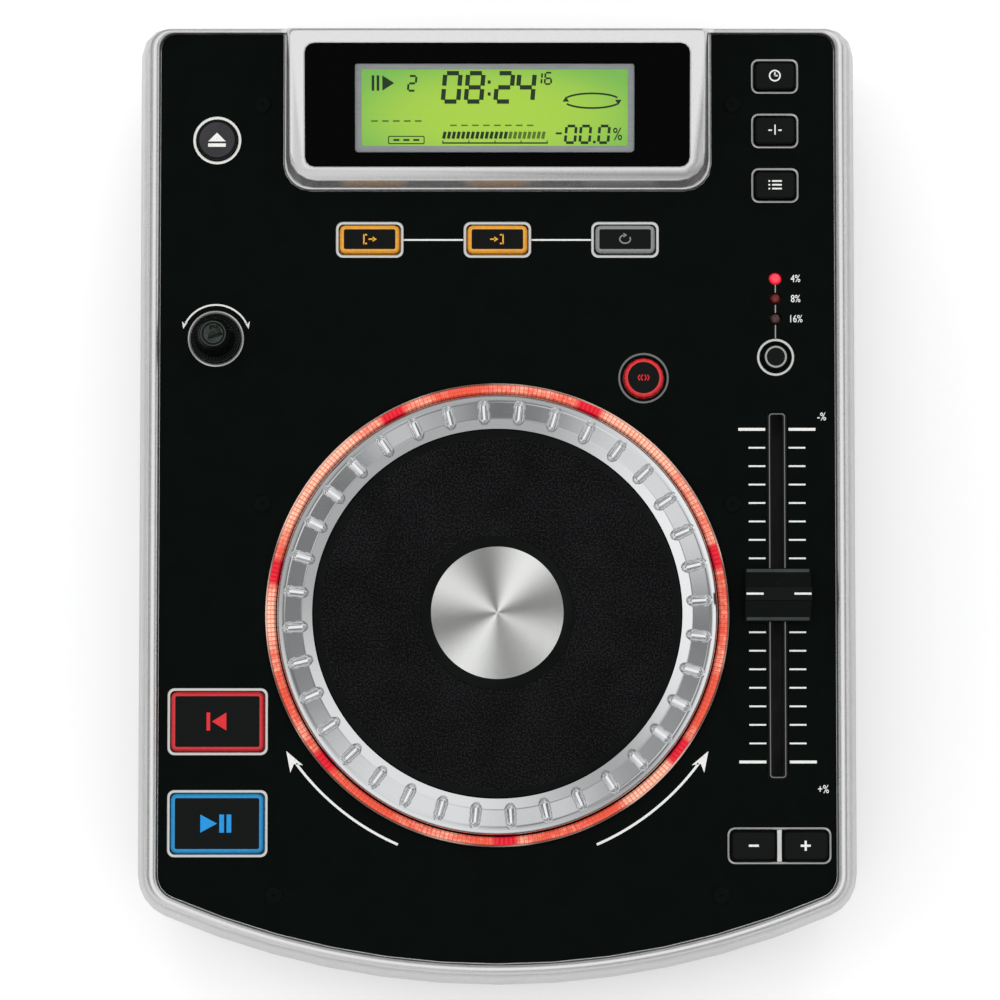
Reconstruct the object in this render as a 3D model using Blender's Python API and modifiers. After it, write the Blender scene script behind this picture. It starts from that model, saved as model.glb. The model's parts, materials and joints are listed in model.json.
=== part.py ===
"""Tabletop DJ CD player, modelled as the separate pieces it comes apart into.

Lengths are in metres. X runs to the right, Y to the back and Z up, and the origin lies on the table under
the middle of the body. Every piece hangs from an empty on the axis of the jog wheel, so places on the
faceplate are measured from that axis, and heights from the table.
"""

import math

import bmesh
import bpy
from mathutils import Matrix, Vector

PARTS = "tabletop_dj_cd_player"
CUTTERS = "cutters"
WHEEL_AXIS = "wheel_axis"
HOOD_FACE = "hood_face"

MM = 0.001
DEGREE = math.pi / 180

# Clearances and cutter lengths
GAP = 0.3 * MM
RUNNING_GAP = 0.5 * MM
OVERRUN = 5.0 * MM
SEAM_OVERLAP = 0.5 * MM
WELD = 0.001 * MM
SMOOTH_ANGLE = 35 * DEGREE

# Faceplate outline: straight sides and back, front bowed to one radius
PLATE_BACK = 175.7 * MM
BOW_RADIUS = 248.0 * MM
PLATE_BACK_CORNER = 4.4 * MM
PLATE_FRONT_CORNER = 6.8 * MM
SMALLEST_CORNER = 0.8 * MM
PLATE_THICKNESS = 2.0 * MM
PANEL_TOP = 80.0 * MM
CORNER_STEPS = 3
EDGE_STEPS = 2
BOW_STEPS = 12

# Housing wall: rim, flare and skirt on the sides, the back and the front
RIM = (4.1 * MM, 1.9 * MM, 3.5 * MM)
FLARE = (3.3 * MM, 2.4 * MM, 3.2 * MM)
RIM_RISE = 1.2 * MM
RIM_BEVEL = 1.0 * MM
HOUSING_WALL = 2.4 * MM
LEDGE_WIDTH = 1.6 * MM
LEDGE_THICKNESS = 2.0 * MM
SKIRT_BOTTOM = 26.0 * MM
# Rows of rim share, flare share and share of the drop from the rim to the skirt's foot
OUTER_WALL_SHARES = (
    (0.24, 0.0, 0.0),
    (0.68, 0.0, 0.0),
    (0.9, 0.0, 0.009),
    (1.0, 0.0, 0.029),
    (1.0, 0.0, 0.058),
    (1.0, 0.4, 0.13),
    (1.0, 0.76, 0.24),
    (1.0, 1.0, 0.42),
    (1.0, 1.0, 0.93),
    (1.0, 0.82, 1.0),
)
INNER_WALL_SHARES = ((1.0, 1.0, 1.0), (1.0, 1.0, 0.42), (1.0, 0.7, 0.22), (1.0, 0.3, 0.127))

# Display hood: a sloping block that fills the notch at the back of the faceplate
NOTCH_HALF_WIDTH = 64.7 * MM
NOTCH_FRONT = 127.9 * MM
NOTCH_FRONT_CORNER = 8.5 * MM
NOTCH_BACK_CORNER = 1.4 * MM
NOTCH_STEPS = 4
HOOD_FOOT_RISE = 0.5 * MM
HOOD_FOOT_STEP = 0.6 * MM
HOOD_SIDE_LEAN = 2.2 * MM
HOOD_FRONT_LEAN = 2.7 * MM
HOOD_BACK_LEAN = 2.7 * MM
HOOD_EDGE = 0.6 * MM
HOOD_FRONT_RISE = 5.7 * MM
HOOD_BACK_RISE = 13.2 * MM
HOOD_WALL = 2.6 * MM
WINDOW_WIDTH = 115.8 * MM
WINDOW_LENGTH = 37.2 * MM
WINDOW_CORNER = 2.9 * MM
WINDOW_THICKNESS = 1.1 * MM
WINDOW_SEAT = 1.5 * MM
WINDOW_LIP = 1.5 * MM
LCD_WIDTH = 84.0 * MM
LCD_LENGTH = 26.7 * MM
LCD_THICKNESS = 6.0 * MM
LCD_GLASS_WIDTH = 80.5 * MM
LCD_GLASS_LENGTH = 23.3 * MM
LCD_GLASS_DEPTH = 0.5 * MM
LCD_CORNER = 1.0 * MM
LCD_PLACE = (-0.8 * MM, -0.9 * MM)

# Jog wheel: radii and heights over the faceplate
LIGHT_RING_RISE = 2.5 * MM
LIGHT_RING_CHAMFER = 0.5 * MM
WHEEL_WALL = 1.6 * MM
WHEEL_FOOT_DROP = 1.2 * MM
WHEEL_EDGE_RISE = 3.9 * MM
WHEEL_SHOULDER = 0.6 * MM
WHEEL_TOP_OUTER_RISE = 5.4 * MM
WHEEL_BEVEL_RISE = 6.6 * MM
WHEEL_BEVEL_TOP_RISE = 8.7 * MM
WHEEL_WEB_RISE = 2.7 * MM
WHEEL_STEPS = 72
GROOVE_COUNT = 36
GROOVE_FIRST = 3.8 * DEGREE
GROOVE_WIDTH = 3.0 * MM
GROOVE_DEPTH = 1.4 * MM
GROOVE_END_STEPS = 2
DISC_RADIUS = 55.0 * MM
WHEEL_BEVEL_WIDTH = 3.2 * MM
WHEEL_TOP_WIDTH = 5.3 * MM
WHEEL_EDGE_WIDTH = 2.2 * MM
WHEEL_CLEARANCE = 0.6 * MM
LIGHT_RING_WIDTH = 3.0 * MM
LIGHT_RING_CLEARANCE = 0.4 * MM
GROOVE_INSET = 1.7 * MM
DISC_FLANGE_INSET = 1.8 * MM
TRAY_LAP = 1.4 * MM
TRAY_INSET = 1.5 * MM
DISC_CHAMFER = 2.0 * MM
DISC_CHAMFER_DROP = 1.1 * MM
DISC_RISE = 10.0 * MM
DISC_FLANGE_THICKNESS = 1.8 * MM
DISC_RIM_WALL = 3.0 * MM
DISC_SKIN = 2.6 * MM
CAP_RADIUS = 21.9 * MM
CAP_TOP_RADIUS = 19.8 * MM
CAP_RISE = 12.0 * MM
CAP_EDGE_RISE = 10.3 * MM
CAP_SEAT = 1.0 * MM
HUB_RADIUS = 8.0 * MM
SHAFT_RADIUS = 4.0 * MM
SHAFT_RISE = 3.5 * MM
SHAFT_BOTTOM = 60.6 * MM
BEARING_RADIUS = 6.0 * MM
BEARING_FLANGE_RADIUS = 8.5 * MM
BEARING_FLANGE = 1.0 * MM
TRAY_WALL = 2.0 * MM
TRAY_FLOOR = 66.0 * MM
TRAY_BOSS_RADIUS = 9.0 * MM
TRAY_BOSS_BOTTOM = 63.4 * MM
TRAY_BOSS_TOP = 70.0 * MM
ENCODER_DISC_RADIUS = 14.0 * MM
ENCODER_DISC_THICKNESS = 1.0 * MM
TURNED_STEPS = 36
RING_STEPS = 28
LIGHT_RING_STEPS = 48

# Control board under the faceplate, with a switch under each button
BOARD_TOP = 67.6 * MM
BOARD_THICKNESS = 1.6 * MM
BOARD_INSET = 5.0 * MM
BOARD_HOLE_CLEARANCE = 1.1 * MM
SWITCH_SIDE = 6.0 * MM
SWITCH_BODY = 3.4 * MM
SWITCH_PLUNGER = 1.7 * MM
SWITCH_HEIGHT = 4.3 * MM
POST_RADIUS = 3.0 * MM
POST_BACK_PLACE = (8.6 * MM, 113.0 * MM)
POST_SIDE_PLACE = (7.6 * MM, -8.0 * MM)
POST_FRONT_PLACE = (60.0 * MM, 20.3 * MM)
POST_REACH = 9.4 * MM
POST_ANGLE = 41 * DEGREE

# Buttons in two columns beside the wheel, a row behind it and one by its edge: cap sizes, places and travel
BUTTON_RISE = 2.0 * MM
BUTTON_TRAVEL = 1.0 * MM
DECK_BUTTON_TRAVEL = 1.5 * MM
BUTTON_CORNER = 1.4 * MM
BUTTON_EDGE = 0.5 * MM
BUTTON_FLANGE = 0.8 * MM
BUTTON_FLANGE_THICKNESS = 1.7 * MM
BUTTON_STEM = 3.6 * MM
BUTTON_CORNER_STEPS = 2
ROUND_BUTTON_SIDES = 16
MODE_CAP = (12.0 * MM, 8.3 * MM)
LOOP_CAP = (17.8 * MM, 8.3 * MM)
BEND_CAP = (13.2 * MM, 8.7 * MM)
DECK_CAP = (27.5 * MM, 17.5 * MM)
EJECT_RADIUS = 6.1 * MM
SEARCH_RADIUS = 5.8 * MM
RANGE_BUTTON_RADIUS = 3.8 * MM
COLUMN_REACH = 13.8 * MM
COLUMN_MARGIN = 17.8 * MM
EJECT_OUTSET = 0.8 * MM
BEND_OUTSET = 0.6 * MM
BEND_CLEARANCE = 12.05 * MM
BEND_TO_FRONT = 35.1 * MM
RANGE_CLEARANCE = 8.75 * MM
SEARCH_REACH = 13.8 * MM
SEARCH_ANGLE = 58.3 * DEGREE
MODE_BACK_Y = 162.9 * MM
MODE_PITCH = 16.6 * MM
LOOP_Y = 113.2 * MM
LOOP_PITCH = 38.5 * MM
EJECT_Y = 143.4 * MM
CUE_Y = -32.1 * MM
PLAY_Y = -62.6 * MM
BEND_PITCH = 15.5 * MM

# Range lamps in a row behind the pitch range button
LAMP_RADIUS = 1.65 * MM
LAMP_RISE = 1.2 * MM
LAMP_FLANGE = 0.5 * MM
LAMP_SPACER_HEIGHT = 7.5 * MM
LAMP_CLEARANCES = (23.9 * MM, 17.8 * MM, 11.7 * MM)
LAMP_SIDES = 12
LAMP_DOME = 45 * DEGREE

# Track knob, which turns and presses
KNOB_OUTSET = 1.0 * MM
KNOB_Y = 83.2 * MM
KNOB_RADIUS = 7.3 * MM
KNOB_WAIST_RADIUS = 6.0 * MM
KNOB_TOP_RADIUS = 4.5 * MM
KNOB_FACE_RADIUS = 3.5 * MM
KNOB_HEIGHT = 15.0 * MM
KNOB_SKIRT = 2.4 * MM
KNOB_LIFT = 1.0 * MM
KNOB_CROWN = 1.0 * MM
KNOB_STEPS = 24
KNOB_BORE_DEPTH = 10.0 * MM
KNOB_TRAVEL = 0.5 * MM
KNOB_SHAFT_RADIUS = 2.5 * MM
ENCODER_SIDE = 13.0 * MM
ENCODER_HEIGHT = 6.6 * MM
ENCODER_BUSH_RADIUS = 4.4 * MM
ENCODER_FLOOR = 1.2 * MM
PLUNGER_HEIGHT = 1.4 * MM

# Pitch fader
FADER_OUTSET = 0.3 * MM
FADER_Y = 5.85 * MM
FADER_TRAVEL = 50.0 * MM
FADER_BODY_WIDTH = 12.0 * MM
FADER_BODY_ENDS = 26.0 * MM
FADER_BODY_HEIGHT = 15.5 * MM
FADER_BODY_WALL = 1.6 * MM
FADER_SLOT = 3.2 * MM
FADER_TRIM_SIDE = 1.3 * MM
FADER_TRIM_END = 0.7 * MM
FADER_TRIM_RISE = 0.5 * MM
FADER_STEM_THICKNESS = 1.4 * MM
FADER_STEM_LENGTH = 7.6 * MM
FADER_SLIDER_HEIGHT = 6.0 * MM
FADER_CAP_WIDTH = 19.8 * MM
FADER_CAP_LENGTH = 16.0 * MM
FADER_CAP_HEIGHT = 8.0 * MM
FADER_CAP_LIFT = 1.0 * MM
FADER_RIDGE_LENGTH = 3.8 * MM
FADER_SOCKET_DEPTH = 5.0 * MM
# Half the fader cap's outline from the side: shares of its half length and of its height
FADER_CAP_SHARES = ((1.0, 0.0), (1.0, 0.16), (0.9, 0.22), (0.5, 0.42))
# Heights of the ridge on the fader cap, at its foot and its top
FADER_RIDGE_SHARES = (0.6, 1.0)

# Base pan and feet
PAN_BOTTOM = 6.0 * MM
PAN_THICKNESS = 1.6 * MM
PAN_TOP = 31.0 * MM
PAN_GAP = 0.4 * MM
PAN_CORNER = 1.5 * MM
PAN_BOSS_RADIUS = 3.5 * MM
FOOT_RADIUS = 10.0 * MM
FOOT_TOP_RADIUS = 8.8 * MM
FOOT_BACK_INSET = 15.6 * MM
FOOT_BACK_Y = 152.0 * MM
FOOT_FRONT_INSET = 17.6 * MM
FOOT_TO_FRONT = 38.3 * MM
FOOT_STEPS = 20

# Connector bay at the back
BAY_INSET = 13.6 * MM
BAY_LOW = 36.0 * MM
BAY_HIGH = 57.0 * MM
BAY_DEPTH = 9.0 * MM
BAY_SHEET = 1.5 * MM
BAY_FLANGE = 3.0 * MM
INLET_INSET = 20.0 * MM
INLET_WIDTH = 20.0 * MM
INLET_HEIGHT = 10.5 * MM
INLET_DEPTH = 16.0 * MM
INLET_FLANGE = 2.0 * MM
INLET_RECESS = 11.0 * MM
INLET_WALL = 1.6 * MM
INLET_CORNER = 2.4 * MM
INLET_PIN_RADIUS = 1.2 * MM
INLET_PIN_PITCH = 8.6 * MM
INLET_PIN_LENGTH = 8.5 * MM
ROCKER_INSET = 52.0 * MM
ROCKER_WIDTH = 13.0 * MM
ROCKER_HEIGHT = 11.0 * MM
ROCKER_DIP = 1.9 * MM
ROCKER_SWING = 12.0 * DEGREE
JACK_INSET = 26.0 * MM
JACK_PITCH = 14.0 * MM
JACK_RADIUS = 4.1 * MM
JACK_BORE = 1.6 * MM
JACK_LENGTH = 7.5 * MM
JACK_BLOCK_DEPTH = 12.0 * MM
JACK_BLOCK_HEIGHT = 12.0 * MM

# Boards on the pan
BOARD_STANDOFF = 5.0 * MM
BOARD_SIDE_CLEARANCE = 9.6 * MM
MAIN_BOARD_END = -6.0 * MM
POWER_BOARD_END = -22.0 * MM
REAR_BOARD_Y = (62.0 * MM, 156.0 * MM)
STANDOFF_INSET = 6.0 * MM
TALLEST_BOARD_PART = 22.0 * MM
# Rows of place, width and depth as shares of the board, and height as a share of the tallest part
MAIN_BOARD_SHARES = (
    (0.3, 0.4, 0.22, 0.2, 0.08),
    (0.62, 0.3, 0.14, 0.14, 0.07),
    (0.6, 0.66, 0.12, 0.2, 0.07),
    (0.85, 0.5, 0.06, 0.5, 0.3),
    (0.3, 0.85, 0.3, 0.06, 0.4),
)
POWER_BOARD_SHARES = (
    (0.36, 0.34, 0.5, 0.36, 1.0),
    (0.8, 0.3, 0.18, 0.14, 0.8),
    (0.3, 0.75, 0.12, 0.3, 0.7),
    (0.7, 0.76, 0.3, 0.1, 0.5),
)

# Disc drive, about the disc's plane and the spindle
DISC_PLANE = 46.0 * MM
SPINDLE_DEPTH = 60.0 * MM
SLOT_HALF_WIDTH = 63.0 * MM
SLOT_HEIGHT = 5.4 * MM
SLOT_BEZEL_WIDTH = 4.0 * MM
SLOT_BEZEL_DEPTH = 6.0 * MM
SLOT_BEZEL_SINK = 0.4 * MM
CHASSIS_MARGIN = 4.5 * MM
CHASSIS_SHEET = 1.5 * MM
CHASSIS_FLOOR = 22.0 * MM
CHASSIS_TOP = 54.0 * MM
CHASSIS_REACH = 1.06 * MM
CHASSIS_LENGTH = 140.0 * MM
CHASSIS_LEG_RADIUS = 4.0 * MM
CHASSIS_LEG_INSET = 8.0 * MM
PIVOT_RADIUS = 2.0 * MM
DECK_PIVOT_INSET = 6.0 * MM
DECK_PIVOT_Z = 31.0 * MM
DECK_THICKNESS = 2.0 * MM
DECK_MARGIN = 3.0 * MM
DECK_FRONT_DEPTH = 40.0 * MM
MOTOR_RADIUS = 12.0 * MM
MOTOR_HEIGHT = 5.6 * MM
MOTOR_SHAFT_RADIUS = 1.2 * MM
HUB_TABLE_RADIUS = 13.0 * MM
HUB_TABLE_TOP = 41.0 * MM
HUB_TABLE_THICKNESS = 1.6 * MM
HUB_CONE_RADIUS = 7.3 * MM
HUB_CONE_TOP_RADIUS = 5.0 * MM
HUB_CONE_HEIGHT = 2.5 * MM
PICKUP_REACH = 25.0 * MM
PICKUP_HALF_WIDTH = 29.0 * MM
PICKUP_HALF_LENGTH = 10.0 * MM
PICKUP_LOW = 34.0 * MM
PICKUP_HIGH = 40.4 * MM
LENS_RADIUS = 3.0 * MM
LENS_HEIGHT = 1.0 * MM
ROD_X = -23.0 * MM
SCREW_X = 23.0 * MM
ROD_Z = 37.0 * MM
ROD_RADIUS = 1.5 * MM
SCREW_RADIUS = 1.8 * MM
ROD_FRONT_REACH = 12.6 * MM
ROD_BACK_INSET = 2.6 * MM
LUG_THICKNESS = 2.0 * MM
LUG_HALF_WIDTH = 4.0 * MM
LUG_TOP = 40.0 * MM
CRADLE_DEPTH = 12.0 * MM
CRADLE_PIVOT_Z = 39.8 * MM
CRADLE_ARM = 9.0 * MM
CRADLE_BAR_RADIUS = 2.0 * MM
CRADLE_ARM_THICKNESS = 3.0 * MM
ROLLER_RADIUS = 3.2 * MM
ROLLER_AXLE_RADIUS = 1.2 * MM
CLAMP_RADIUS = 13.0 * MM
CLAMP_FLANGE_RADIUS = 17.0 * MM
CLAMP_FLANGE_THICKNESS = 1.5 * MM
CLAMP_BOTTOM = 49.2 * MM
SMALL_SIDES = 12

# Wheel radii that follow, from the disc outwards
WHEEL_BEVEL_RADIUS = DISC_RADIUS + GAP + WHEEL_BEVEL_WIDTH
WHEEL_TOP_OUTER_RADIUS = WHEEL_BEVEL_RADIUS + WHEEL_TOP_WIDTH
WHEEL_RADIUS = WHEEL_TOP_OUTER_RADIUS + WHEEL_EDGE_WIDTH
LIGHT_RING_INNER = WHEEL_RADIUS + WHEEL_CLEARANCE
LIGHT_RING_OUTER = LIGHT_RING_INNER + LIGHT_RING_WIDTH
WHEEL_HOLE_RADIUS = LIGHT_RING_OUTER + LIGHT_RING_CLEARANCE
GROOVE_INNER_RADIUS = WHEEL_BEVEL_RADIUS - GROOVE_INSET
DISC_FLANGE_RADIUS = WHEEL_TOP_OUTER_RADIUS - DISC_FLANGE_INSET
TRAY_FLANGE_RADIUS = WHEEL_HOLE_RADIUS + TRAY_LAP
TRAY_RADIUS = WHEEL_HOLE_RADIUS - TRAY_INSET
BOARD_HOLE_RADIUS = TRAY_RADIUS + BOARD_HOLE_CLEARANCE

# Places that follow: the columns stand beside the wheel, and the faceplate takes its width and front from them
COLUMN_X = WHEEL_HOLE_RADIUS + COLUMN_REACH
EJECT_X = -COLUMN_X - EJECT_OUTSET
BEND_X = COLUMN_X + BEND_OUTSET
FADER_X = COLUMN_X + FADER_OUTSET
KNOB_PLACE = (-COLUMN_X - KNOB_OUTSET, KNOB_Y)
SEARCH_RING = WHEEL_HOLE_RADIUS + SEARCH_REACH
SEARCH_PLACE = (SEARCH_RING * math.cos(SEARCH_ANGLE), SEARCH_RING * math.sin(SEARCH_ANGLE))
FADER_BODY_LENGTH = 2 * FADER_TRAVEL + FADER_BODY_ENDS
RANGE_BUTTON_Y = FADER_Y + FADER_BODY_LENGTH / 2 + RANGE_CLEARANCE
LAMP_Y = tuple(RANGE_BUTTON_Y + clearance for clearance in LAMP_CLEARANCES)
BEND_Y = FADER_Y - FADER_BODY_LENGTH / 2 - BEND_CLEARANCE
PLATE_HALF_WIDTH = COLUMN_X + COLUMN_MARGIN
PLATE_FRONT = BEND_TO_FRONT - BEND_Y
POST_RING = WHEEL_HOLE_RADIUS + POST_REACH
POST_PLACES = (
    (PLATE_HALF_WIDTH - POST_BACK_PLACE[0], POST_BACK_PLACE[1]),
    (POST_RING * math.cos(POST_ANGLE), POST_RING * math.sin(POST_ANGLE)),
    (PLATE_HALF_WIDTH - POST_SIDE_PLACE[0], POST_SIDE_PLACE[1]),
    (POST_FRONT_PLACE[0], POST_FRONT_PLACE[1] - PLATE_FRONT),
)
FOOT_BACK = (PLATE_HALF_WIDTH - FOOT_BACK_INSET, FOOT_BACK_Y)
FOOT_FRONT = (PLATE_HALF_WIDTH - FOOT_FRONT_INSET, FOOT_TO_FRONT - PLATE_FRONT)
BAY_HALF_WIDTH = PLATE_HALF_WIDTH - BAY_INSET
BAY_MIDDLE_Z = (BAY_LOW + BAY_HIGH) / 2
INLET_PLACE = (INLET_INSET - BAY_HALF_WIDTH, BAY_MIDDLE_Z)
ROCKER_X = ROCKER_INSET - BAY_HALF_WIDTH
JACK_X = BAY_HALF_WIDTH - JACK_INSET
MAIN_BOARD_X = (MAIN_BOARD_END, PLATE_HALF_WIDTH - BOARD_SIDE_CLEARANCE)
POWER_BOARD_X = (BOARD_SIDE_CLEARANCE - PLATE_HALF_WIDTH, POWER_BOARD_END)

# Places in the drive that follow: its front corners stand just behind the front bow
CHASSIS_HALF_WIDTH = SLOT_HALF_WIDTH + CHASSIS_MARGIN
BOW_AT_CHASSIS = math.sqrt(BOW_RADIUS**2 - CHASSIS_HALF_WIDTH**2)
CHASSIS_FRONT = BOW_RADIUS - PLATE_FRONT - BOW_AT_CHASSIS - CHASSIS_REACH
CHASSIS_BACK = CHASSIS_FRONT + CHASSIS_LENGTH
SPINDLE_Y = CHASSIS_FRONT + SPINDLE_DEPTH
DECK_PIVOT = (CHASSIS_BACK - DECK_PIVOT_INSET, DECK_PIVOT_Z)
DECK_HALF_WIDTH = SLOT_HALF_WIDTH - DECK_MARGIN
DECK_FRONT = CHASSIS_FRONT + DECK_FRONT_DEPTH
PICKUP_START = SPINDLE_Y + PICKUP_REACH
ROD_FRONT = SPINDLE_Y + ROD_FRONT_REACH
ROD_BACK = DECK_PIVOT[0] - ROD_BACK_INSET
CRADLE_PIVOT = (CHASSIS_FRONT + CRADLE_DEPTH, CRADLE_PIVOT_Z)

# Heights that follow from the sizes above
PLATE_BOTTOM = PANEL_TOP - PLATE_THICKNESS
UNDER_PLATE = PLATE_BOTTOM - GAP
RIM_TOP = PANEL_TOP + RIM_RISE
BOARD_BOTTOM = BOARD_TOP - BOARD_THICKNESS
PAN_FLOOR = PAN_BOTTOM + PAN_THICKNESS
REAR_BOARD_BOTTOM = PAN_FLOOR + BOARD_STANDOFF + GAP
REAR_BOARD_TOP = REAR_BOARD_BOTTOM + BOARD_THICKNESS
WHEEL_AXIS_Y = -(PLATE_BACK + RIM[1] + FLARE[1] - PLATE_FRONT - RIM[2] - FLARE[2]) / 2

# Finishes as colour, roughness and metallic value
SILVER_PLASTIC = ((0.60, 0.60, 0.61), 0.32, 0.6)
BLACK_PANEL = ((0.016, 0.019, 0.017), 0.38, 0.0)
BLACK_PLASTIC = ((0.03, 0.03, 0.032), 0.5, 0.0)
DARK_WINDOW = ((0.01, 0.01, 0.012), 0.08, 0.0)
LCD_GREEN = ((0.55, 0.68, 0.16), 0.3, 0.0)
RED_LENS = ((0.85, 0.08, 0.07), 0.25, 0.0)
AMBER_LENS = ((0.85, 0.42, 0.06), 0.3, 0.0)
BLUE_LENS = ((0.03, 0.32, 0.7), 0.3, 0.0)
GREY_CAP = ((0.45, 0.46, 0.47), 0.4, 0.0)
STEEL = ((0.55, 0.56, 0.58), 0.35, 1.0)
SPUN_METAL = ((0.78, 0.78, 0.79), 0.22, 1.0)
RUBBER = ((0.03, 0.03, 0.03), 0.85, 0.0)
CIRCUIT_GREEN = ((0.03, 0.22, 0.1), 0.5, 0.0)
BRONZE = ((0.55, 0.38, 0.2), 0.35, 1.0)
WHITE_PLASTIC = ((0.75, 0.75, 0.72), 0.5, 0.0)
BLACK_STEEL = ((0.05, 0.05, 0.055), 0.45, 0.5)


def arc(centre, radius, start, end, steps):
    """Points on a circle from one angle to another, both included."""
    turns = [start + (end - start) * i / steps for i in range(steps + 1)]
    return [(centre[0] + radius * math.cos(t), centre[1] + radius * math.sin(t)) for t in turns]


def circle(radius, sides, centre=(0.0, 0.0)):
    """A closed ring of points, counter-clockwise."""
    return arc(centre, radius, 0, 2 * math.pi, sides)[:-1]


def rounded_rectangle(width, depth, corner, steps, centre=(0.0, 0.0)):
    """A rectangle with one corner radius, counter-clockwise."""
    points = []
    for quarter, (right, back) in enumerate(((1, 1), (-1, 1), (-1, -1), (1, -1))):
        middle = (centre[0] + right * (width / 2 - corner), centre[1] + back * (depth / 2 - corner))
        start = quarter * math.pi / 2
        points += arc(middle, corner, start, start + math.pi / 2, steps)
    return points


def mirrored_left(points):
    """The same points on the other side of the middle, in the order that carries an outline on."""
    return [(-x, y) for x, y in reversed(points)]


def turned_about(points, angle):
    """Points turned about the axis."""
    c, s = math.cos(angle), math.sin(angle)
    return [(x * c - y * s, x * s + y * c) for x, y in points]


def bow_centre():
    """How far behind the wheel's axis the centre of the front bow lies."""
    return BOW_RADIUS - PLATE_FRONT


def body_outline(side, back, front):
    """The faceplate's outline, grown by its own distance on the sides, the back and the bowed front."""
    half = PLATE_HALF_WIDTH + side
    bow = BOW_RADIUS + front
    front_corner = max(PLATE_FRONT_CORNER + min(side, front), SMALLEST_CORNER)
    back_corner = max(PLATE_BACK_CORNER + min(side, back), SMALLEST_CORNER)
    x = half - front_corner
    reach = math.sqrt((bow - front_corner) ** 2 - x**2)
    slope = math.atan2(reach, x)
    right = arc((x, bow_centre() - reach), front_corner, -slope, 0, CORNER_STEPS + 1)
    back_centre = (half - back_corner, PLATE_BACK + back - back_corner)
    right += arc(back_centre, back_corner, 0, math.pi / 2, CORNER_STEPS)
    front_arc = arc((0, bow_centre()), bow, slope - math.pi, -slope, BOW_STEPS)[1:-1]
    return right + mirrored_left(right) + front_arc


def notch_outline(grow, back):
    """The hood's outline in plan: the notch in the faceplate grown by a distance, as far back as given."""
    half = NOTCH_HALF_WIDTH + grow
    front = NOTCH_FRONT - grow
    corner = max(NOTCH_FRONT_CORNER + grow, SMALLEST_CORNER)
    right = arc((half - corner, front + corner), corner, -math.pi / 2, 0, NOTCH_STEPS)
    right += arc((half - NOTCH_BACK_CORNER, back - NOTCH_BACK_CORNER), NOTCH_BACK_CORNER, 0, math.pi / 2, 2)
    return right + mirrored_left(right)


def level(points, height):
    """A flat ring of points at one height."""
    return [(x, y, height) for x, y in points]


def collection(name):
    """The scene's collection of that name, made when it is first asked for."""
    found = bpy.data.collections.get(name)
    if not found:
        found = bpy.data.collections.new(name)
        bpy.context.scene.collection.children.link(found)
    return found


def carrier(name, place, turn=(0.0, 0.0, 0.0), parent=None):
    """An empty that carries pieces: on the wheel's axis, on the hood's slope or on a joint."""
    empty = bpy.data.objects.new(name, None)
    empty.location = place
    empty.rotation_euler = turn
    empty.parent = parent
    collection(PARTS).objects.link(empty)
    return empty


def add_piece(name, data, place, look, turn, parent):
    """Puts a mesh or a curve in the scene as a named object, with a material of its own if it has a look."""
    piece = bpy.data.objects.new(name, data)
    piece.location = place
    piece.rotation_euler = turn
    piece.parent = parent or bpy.data.objects[WHEEL_AXIS]
    collection(PARTS).objects.link(piece)
    if look:
        colour, roughness, metallic = look
        made = bpy.data.materials.new(name + "_finish")
        made.use_nodes = True
        shader = made.node_tree.nodes["Principled BSDF"].inputs
        shader["Base Color"].default_value = (*colour, 1.0)
        shader["Roughness"].default_value = roughness
        shader["Metallic"].default_value = metallic
        data.materials.append(made)
    return piece


def smooth(mesh):
    """Shades a mesh smooth but for its real edges."""
    mesh.shade_smooth()
    mesh.set_sharp_from_angle(angle=SMOOTH_ANGLE)


def from_shape(name, shape, place, look, turn=(0.0, 0.0, 0.0), parent=None):
    """Makes a piece of a bmesh."""
    bmesh.ops.recalc_face_normals(shape, faces=shape.faces)
    mesh = bpy.data.meshes.new(name)
    shape.to_mesh(mesh)
    shape.free()
    smooth(mesh)
    return add_piece(name, mesh, place, look, turn, parent)


def settled(piece):
    """Swaps a curve, or a mesh with modifiers, for the plain welded mesh that a Boolean needs."""
    bpy.context.view_layer.update()
    graph = bpy.context.evaluated_depsgraph_get()
    mesh = bpy.data.meshes.new_from_object(piece.evaluated_get(graph))
    shape = bmesh.new()
    shape.from_mesh(mesh)
    bmesh.ops.remove_doubles(shape, verts=shape.verts, dist=WELD)
    bmesh.ops.recalc_face_normals(shape, faces=shape.faces)
    shape.to_mesh(mesh)
    shape.free()
    smooth(mesh)
    name, parent, matrix = piece.name, piece.parent, piece.matrix_world.copy()
    bpy.data.objects.remove(piece)
    made = bpy.data.objects.new(name, mesh)
    collection(PARTS).objects.link(made)
    made.parent = parent
    made.matrix_world = matrix
    return made


def block(name, low, high, look=None, parent=None):
    """A box between two opposite corners."""
    size = [b - a for a, b in zip(low, high)]
    shape = bmesh.new()
    bmesh.ops.create_cube(shape, size=1.0)
    bmesh.ops.scale(shape, vec=size, verts=shape.verts)
    middle = [(a + b) / 2 for a, b in zip(low, high)]
    return from_shape(name, shape, middle, look, parent=parent)


def rod(name, radius, start, end, look=None, sides=SMALL_SIDES, parent=None):
    """A cylinder between two points."""
    line = Vector(end) - Vector(start)
    shape = bmesh.new()
    bmesh.ops.create_cone(
        shape, cap_ends=True, segments=sides, radius1=radius, radius2=radius, depth=line.length
    )
    middle = (Vector(start) + Vector(end)) / 2
    return from_shape(name, shape, middle, look, line.to_track_quat("Z", "Y").to_euler(), parent)


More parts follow.
